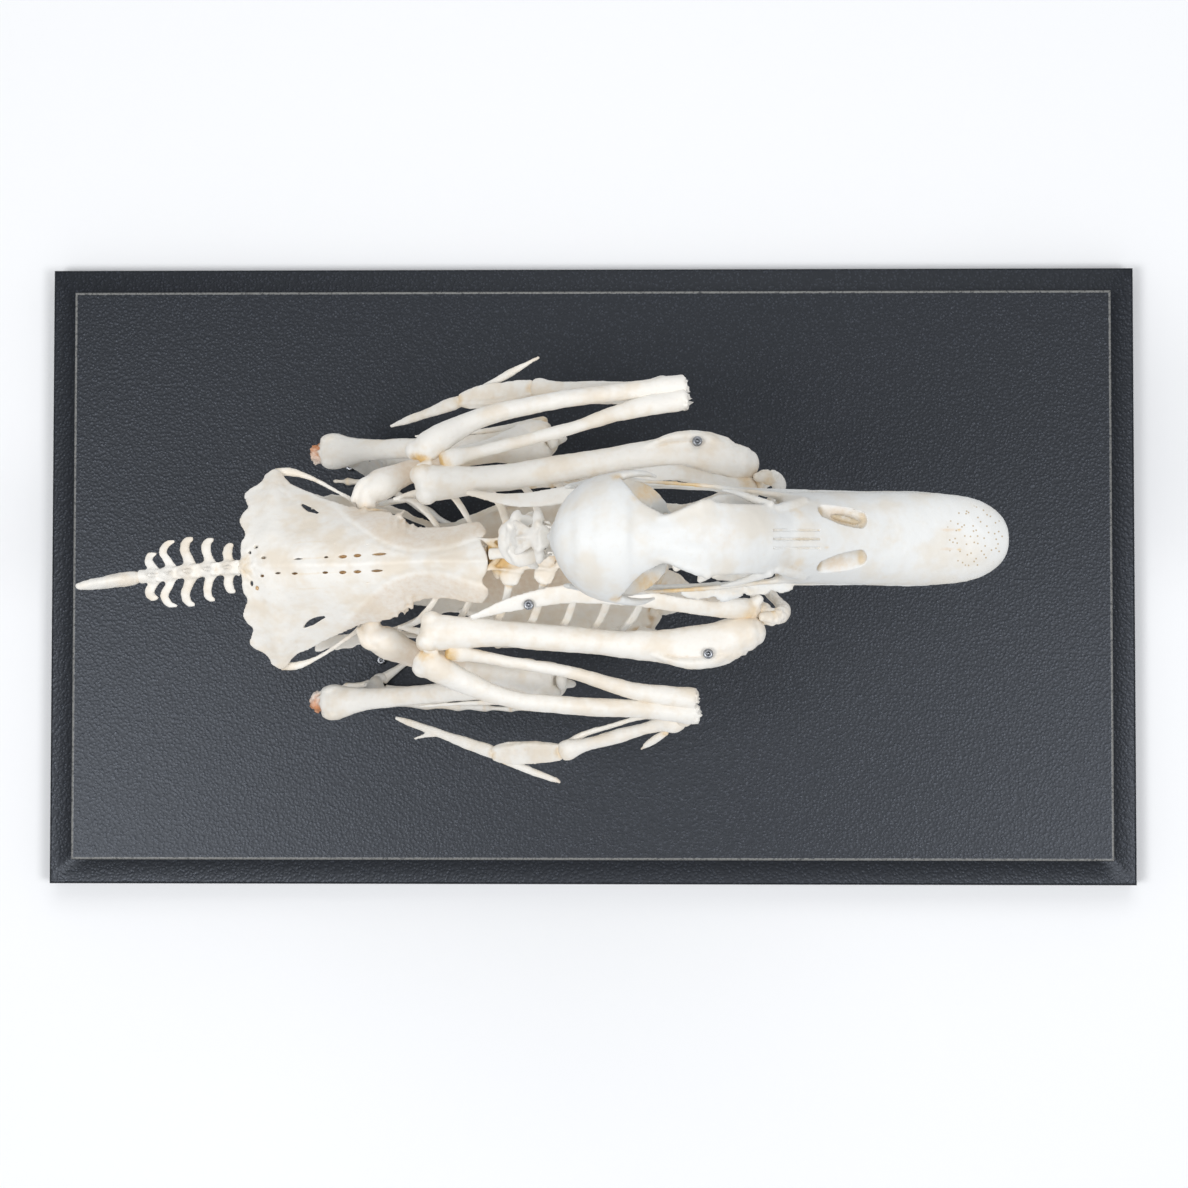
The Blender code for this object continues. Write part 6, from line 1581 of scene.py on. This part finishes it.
@dataclass
class Leg(Wing):
    """One leg and foot; it shares the wing's ways of making a long bone."""

    hip: Place = (-66.0, 16.8, 137.5)
    knee: Place = (-14.0, 38.0, 118.0)
    shin_top: Place = (-10.0, 38.4, 109.2)
    hock: Place = (-85.6, 41.6, 71.5)
    ankle: Place = (-83.6, 41.6, 65.6)
    foot_ball: Place = (-74.5, 37.5, 24.6)
    floor: float = 18.32
    toes: dict[str, tuple[Place, float, Place, float]] = field(default_factory=lambda: {"toe_inner": ((-72.8, 33.6),
        -33.0, (18, 13, 8), 2.0), "toe_middle": ((-71.6, 37.8), -1.0, (21, 14, 12, 9), 2.2),
        "toe_outer": ((-72.6, 41.9), 5.0, (15, 11, 9, 9, 8), 2.0), "toe_hind": ((-77.6, 35.2), 176.0, (8, 5), 1.6)})

    def ahead(self, place: Place) -> np.ndarray:
        """A place on the lower leg, moved to where this side's leg stands."""
        return np.asarray(place, float) + (2.0 if self.side is Side.LEFT else -0.8, 0, 0)

    def thigh(self) -> None:
        """Femur with its round head on a short neck, shoulder and knuckles, and the kneecap."""
        hx, _, hz = self.hip
        kx, ky, kz = self.knee
        profile = ((0.0, 3.6, 4.2, 0), (0.07, 4.9, 5.2, 0.6), (0.2, 4.0, 4.2, 2.0), (0.45, 3.4, 3.5, 2.2),
            (0.75, 4.0, 3.9, 1.0), (0.92, 6.0, 5.2, 0), (1.0, 5.2, 4.6, 0))
        parts = [self.shaft((-66.0, 22.4, 137.0), self.knee, profile, 90, 30)]
        parts.append(tube(((hx, 12.9, hz, 2.4, 2.4), (hx, 14.6, hz, 3.9, 3.9), (hx, 17.2, hz, 3.0, 3.0),
            (hx, 22.4, hz, 3.4, 3.4)), 30, 24))
        parts.append(tube(((-70.0, 20.0, 138.2, 1.0, 1.4), (-67.6, 24.6, 139.0, 1.3, 1.6),
            (-62.6, 27.0, 138.0, 1.0, 1.2), (-56.0, 28.0, 136.0, 0.7, 0.7)), 30, 14))
        for across in (-3.6, 3.6):
            parts.append(tube(((kx - 4.5, ky + across, kz - 0.6, 2.6, 4.4), (kx, ky + across, kz - 0.4, 3.0, 5.6),
                (kx + 3.6, ky + across, kz - 0.2, 2.4, 4.4)), 24, 24))
        self.make("femur", parts, [Mark(Tint.BLUSH, (-48, 28, 132), (26, 11, 14), 1.0),
            amber((hx, 17.5, hz), (5, 4, 6), 0.6), amber(self.knee, (7, 8, 7), 0.45)], voxel=0.5)
        self.make("patella", [blob((kx + 5.8, ky, kz + 2.4), (1.8, 3.0, 2.8))],
            [amber((kx + 5.8, ky, kz), (4, 4, 4), 0.6)], voxel=0.35, rough=0.2)

    def shin(self) -> None:
        """Tibiotarsus with its crest, pulley and bare orange hock end, and the splint of the fibula."""
        hock = self.ahead(self.hock)
        top = np.asarray(self.shin_top, float)
        profile = ((0.0, 4.6, 4.0, 0), (0.05, 6.0, 5.4, 0), (0.13, 4.9, 5.0, 0), (0.26, 3.8, 3.8, 0),
            (0.45, 3.3, 3.2, 0), (0.7, 3.3, 3.0, 0), (0.85, 3.8, 3.4, 0), (0.93, 5.0, 4.4, 0), (0.97, 5.7, 4.8, 0),
            (1.0, 5.6, 4.6, 0))
        parts = [self.shaft(top, hock, profile, 120, 30)]
        parts += [blob(hock + (1.0, out, 0.4), (4.2, 2.4, 4.4)) for out in (3.6, -3.6)]
        parts.append(tube(((top[0] - 8, top[1], top[2] - 2, 1.4, 2.4), (top[0] + 0.5, top[1], top[2] + 1.0, 2.0, 3.6),
            (top[0] + 4.4, top[1] + 0.6, top[2] + 3.0, 1.3, 3.0)), 24, 18))
        along = (hock - top) / np.linalg.norm(hock - top)
        parts.append(tube([(*(hock - along * 1.5), 3.4, 3.4), (*(hock + along * 2.0 + (0, -0.6, 0)), 2.9, 2.9),
            (*(hock + along * 6.2 + (0, -0.8, 0.4)), 3.3, 3.0)], 24, 24, blunt=0.2))
        bare = hock + along * 4.8
        self.make("tibiotarsus", parts, [Mark(Tint.SPONGE, tuple(bare), (5.2, 5.6, 5.6), 1.0),
            amber(hock, (3, 7, 7), 0.35), amber(self.shin_top, (6, 7, 6), 0.5)], [Crumble(bare, 6.4, 1.3, 1.0)])
        rows = [(*(top + (hock - top) * share + (0, clear, 0)), wide, deep) for share, clear, wide,
            deep in ((0.02, 6.8, 1.5, 2.8), (0.14, 5.4, 1.2, 1.5), (0.35, 4.2, 0.8, 1.0), (0.6, 3.8, 0.4, 0.6))]
        self.make("fibula", [tube(rows, 60, 16)], [amber(rows[0][:3], (5, 4, 5), 0.5)], voxel=0.35)

    def foot(self) -> None:
        """Tarsometatarsus with a pulley for each front toe, and the toes lying on the board."""
        ball = self.ahead(self.foot_ball)
        profile = ((0.0, 4.6, 3.8, 0), (0.08, 4.4, 3.8, 0), (0.22, 3.0, 2.8, 0), (0.55, 2.6, 2.3, 0),
            (0.82, 3.2, 2.4, 0), (0.94, 5.0, 2.8, 0), (1.0, 5.0, 2.6, 0))
        parts = [self.shaft(self.ahead(self.ankle), ball, profile, 80, 26, up=(1, 0, 0))]
        for across, size in ((-4.2, 2.5), (0.0, 2.8), (4.2, 2.5)):
            parts.append(blob((ball[0] + 0.8, ball[1] + across, self.floor + size + 0.5), (2.6, 1.8, size)))
        parts.append(tube(((ball[0] - 1.1, 36.4, 24.6, 1.4, 1.4), (ball[0] - 3.9, 35.4, 21.6, 1.2, 1.2)), 14, 14))
        parts.append(tube(((ball[0] - 10.4, 39.6, 58.0, 1.2, 0.9), (ball[0] - 11.0, 39.4, 62.0, 1.8, 1.6)), 14, 14,
            up=(1, 0, 0)))
        cuts = [tube(((ball[0] + 1.6, 37.6, 34, 0.8, 0.9), (ball[0] - 2.2, 38.8, 50, 0.8, 0.9)), 16, 12, up=(1, 0, 0))]
        self.make("tarsometatarsus", parts, [amber(self.ahead(self.ankle), (6, 6, 5), 0.4),
            amber(ball, (6, 7, 6), 0.4)], cuts=cuts)
        for kind, ((x, y), heading, lengths, girth) in self.toes.items():
            forward = np.array((math.cos(math.radians(heading)), math.sin(math.radians(heading)), 0.0))
            place = self.ahead((x, y, 0))
            place[2] = 0
            rows = [(*place[:2], self.floor + girth, girth, girth)]
            marks = []
            for number, length in enumerate(lengths):
                size = girth * (1 - 0.1 * (number + 1))
                claw = number == len(lengths) - 1
                for share, thick in ((0.3, 0.7), (0.6, 0.68), (0.88, 0.92)):
                    spot = place + forward * length * share
                    shrink = thick * (1 - 0.55 * share) if claw else thick
                    rows.append((*spot[:2], self.floor + size * (1.0 if not claw else 1 - 0.45 * share), size * shrink,
                        size * shrink))
                place = place + forward * length
                end = 0.35 if claw else size
                rows.append((*place[:2], self.floor + end, end, end))
                if not claw:
                    marks.append(amber((place[0], place[1], self.floor + end), (1.8, 3, 3), 0.55))
            self.make(kind, [tube(rows, 34 * len(lengths), 18, blunt=0.3)], marks, voxel=0.35, rough=0.1)

    def build(self) -> None:
        """Builds this side's leg."""
        self.thigh()
        self.shin()
        self.foot()


@dataclass
class Stand:
    """The stepped board and the pins; both keep their CAD solids' outlines."""

    shop: Workshop
    paint: bpy.types.Material
    length: float = 380.0
    width: float = 216.0
    height: float = 18.0
    ledge_width: float = 8.6
    ledge_height: float = 12.0
    edge_radius: float = 0.8
    pin_radius: float = 1.45

    def board(self) -> None:
        """The board: rectangles stacked as rings, each with rounded corners, a pale line painted along the upper edge.
        """
        radius, inset = self.edge_radius, self.ledge_width
        bends = np.linspace(0, math.pi / 2, 5)

        def rounded(inside: float, top: float) -> list[tuple[float, float]]:
            """The rows of one rounded edge, from its upright side to its flat top."""
            return [(inside + radius - radius * math.cos(bend), top - radius + radius * math.sin(bend))
                for bend in bends]

        levels = [(0.4, 0.0), (0.0, 0.4), *rounded(1e-6, self.ledge_height), (inset - 0.25, self.ledge_height),
            (inset, self.ledge_height + 0.15), *rounded(inset, self.height), (inset + radius + 0.35, self.height),
            (inset + radius + 3.0, self.height)]
        stops = np.linspace(0, 1, 60, endpoint=False)
        corner = np.array(((1, 1), (-1, 1), (-1, -1), (1, -1)), float)
        unit = np.concatenate([corner[k] + (corner[(k + 1) % 4] - corner[k]) * stops[:, None] for k in range(4)])
        rings = [np.column_stack((unit * (self.length / 2 - inside, self.width / 2 - inside),
            np.full(len(unit), level))) for inside, level in levels]
        corners, counts = ring_faces(len(rings), len(unit))
        surface = Surface(np.concatenate(rings), corners, counts).outward()
        data = mesh_of(surface, "board_skin")
        inward = self.length / 2 - np.abs(surface.points[:, 0]), self.width / 2 - np.abs(surface.points[:, 1])
        top = (surface.points[:, 2] > self.height - radius * 0.6) & (np.minimum(*inward) < inset + radius + 0.1)
        data.attributes.new("worn", "FLOAT", "POINT").data.foreach_set("value", top.astype(np.float32))
        data.shade_smooth()
        data.set_sharp_from_angle(angle=math.radians(35))
        self.shop.piece("board_skin", data, self.paint, "board", "board")

    def pins(self) -> None:
        """Hides each CAD pin and puts a steel head of a socket-headed screw, its rim and hexagon socket, on its top."""
        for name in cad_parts:
            if not name.startswith("pin_"):
                continue
            low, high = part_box(name)
            x, y, _ = (np.array(low) + np.array(high)) / 2 / MM
            top = high.z / MM
            radius = self.pin_radius
            head = ((x, y, top - 2.2, radius, radius), (x, y, top - 0.3, radius, radius),
                (x, y, top + 0.1, radius * 0.82, radius * 0.82))
            shell = tube(head, 24, 32, up=(1, 0, 0), blunt=0)
            socket = tube(((x, y, top - 0.9, 0.75, 0.75), (x, y, top + 1.0, 0.75, 0.75)), 4, 6, up=(1, 0, 0), blunt=0)
            data = mesh_of(melted([shell], 0.12, [socket], smooth=1), f"fine_{name}")
            data.shade_smooth()
            self.shop.piece(f"fine_{name}", data, self.shop.steel, "pin", name)

    def build(self) -> None:
        """Builds the board and the pins."""
        self.board()
        self.pins()


@dataclass
class Studio:
    """Camera, soft lights and pale floor."""

    place: Place = (0.02487, -0.05085, 1.068)
    turn: Place = (2.406, 1.294, 0.044)
    lens: float = 91.38
    sensor: float = 36.0
    aim: Place = (0.0, 0.0, 0.1)
    air: str = "#E9EDF2"
    air_strength: float = 0.42
    floor_reach: float = 3.0
    floor_drop: float = 0.05

    def camera(self) -> None:
        """The camera straight above the board, where the photograph was taken from."""
        data = tuned(bpy.data.cameras.new("photo_camera"), lens=self.lens, sensor_width=self.sensor,
            sensor_fit="HORIZONTAL")
        bpy.context.scene.camera = tuned(linked("photo_camera", data), location=self.place,
            rotation_euler=[math.radians(angle) for angle in self.turn])

    def light(self, name: str, place: Place, size: float, power: float, tone: str = "#FFFFFF") -> None:
        """One square soft box.

        Args:
            name: Its name.
            place: Where it hangs, in metres.
            size: Its side.
            power: Its watts.
            tone: Its colour.
        """
        data = tuned(bpy.data.lights.new(name, "AREA"), shape="SQUARE", size=size, energy=power, color=linear(tone)[:3])
        turn = (Vector(self.aim) - Vector(place)).to_track_quat("-Z", "Y").to_euler()
        tuned(linked(name, data), location=place, rotation_euler=turn)

    def build(self) -> None:
        """Builds the studio."""
        self.camera()
        self.light("left_box", (-0.56, -0.27, 1.62), 0.46, 10.8, "#FCFDFF")
        self.light("right_box", (0.6, -0.25, 1.62), 0.46, 9.4, "#FBFCFF")
        self.light("back_box", (0.1, 1.0, 1.6), 0.9, 4.4)
        world = tuned(bpy.data.worlds.new("studio_air"), use_nodes=True)
        feed(world.node_tree, world.node_tree.nodes["Background"],
            {"Color": linear(self.air), "Strength": self.air_strength})
        bpy.context.scene.world = world
        bpy.context.scene.view_settings.view_transform = "Standard"
        corners = np.array(((-1, -1, 0), (1, -1, 0), (1, 1, 0), (-1, 1, 0)), float) * self.floor_reach / MM
        data = mesh_of(Surface(corners - (0, 0, self.floor_drop), np.arange(4), np.array([4])), "paper_floor")
        data.materials.append(PlainFloor().make())
        floor = linked("paper_floor", data)


def main() -> None:
    """Builds the studio, the stand and the skeleton."""
    logging.basicConfig(level=logging.INFO, format="%(message)s")
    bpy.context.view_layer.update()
    Studio().build()
    shop = Workshop(
        bone=BleachedBone("bleached_bone", "#F2EEE6", "#EADFCE", "#C9AA7E").make(),
        skull=BleachedBone("bleached_skull", "#E1E1DE", "#DDD7CC", "#C6B497").make(),
        steel=PinSteel().make(),
    )
    Stand(shop, PebbledBoard().make()).build()
    Head(shop).build()
    Neck(shop).build()
    Trunk(shop).build()
    Hips(shop).build()
    for side in Side:
        Wing(shop, side).build()
        Leg(shop, side).build()
    LOG.info("%d pieces, %d triangles", shop.made, shop.triangles)


if __name__ == "__main__":
    main()
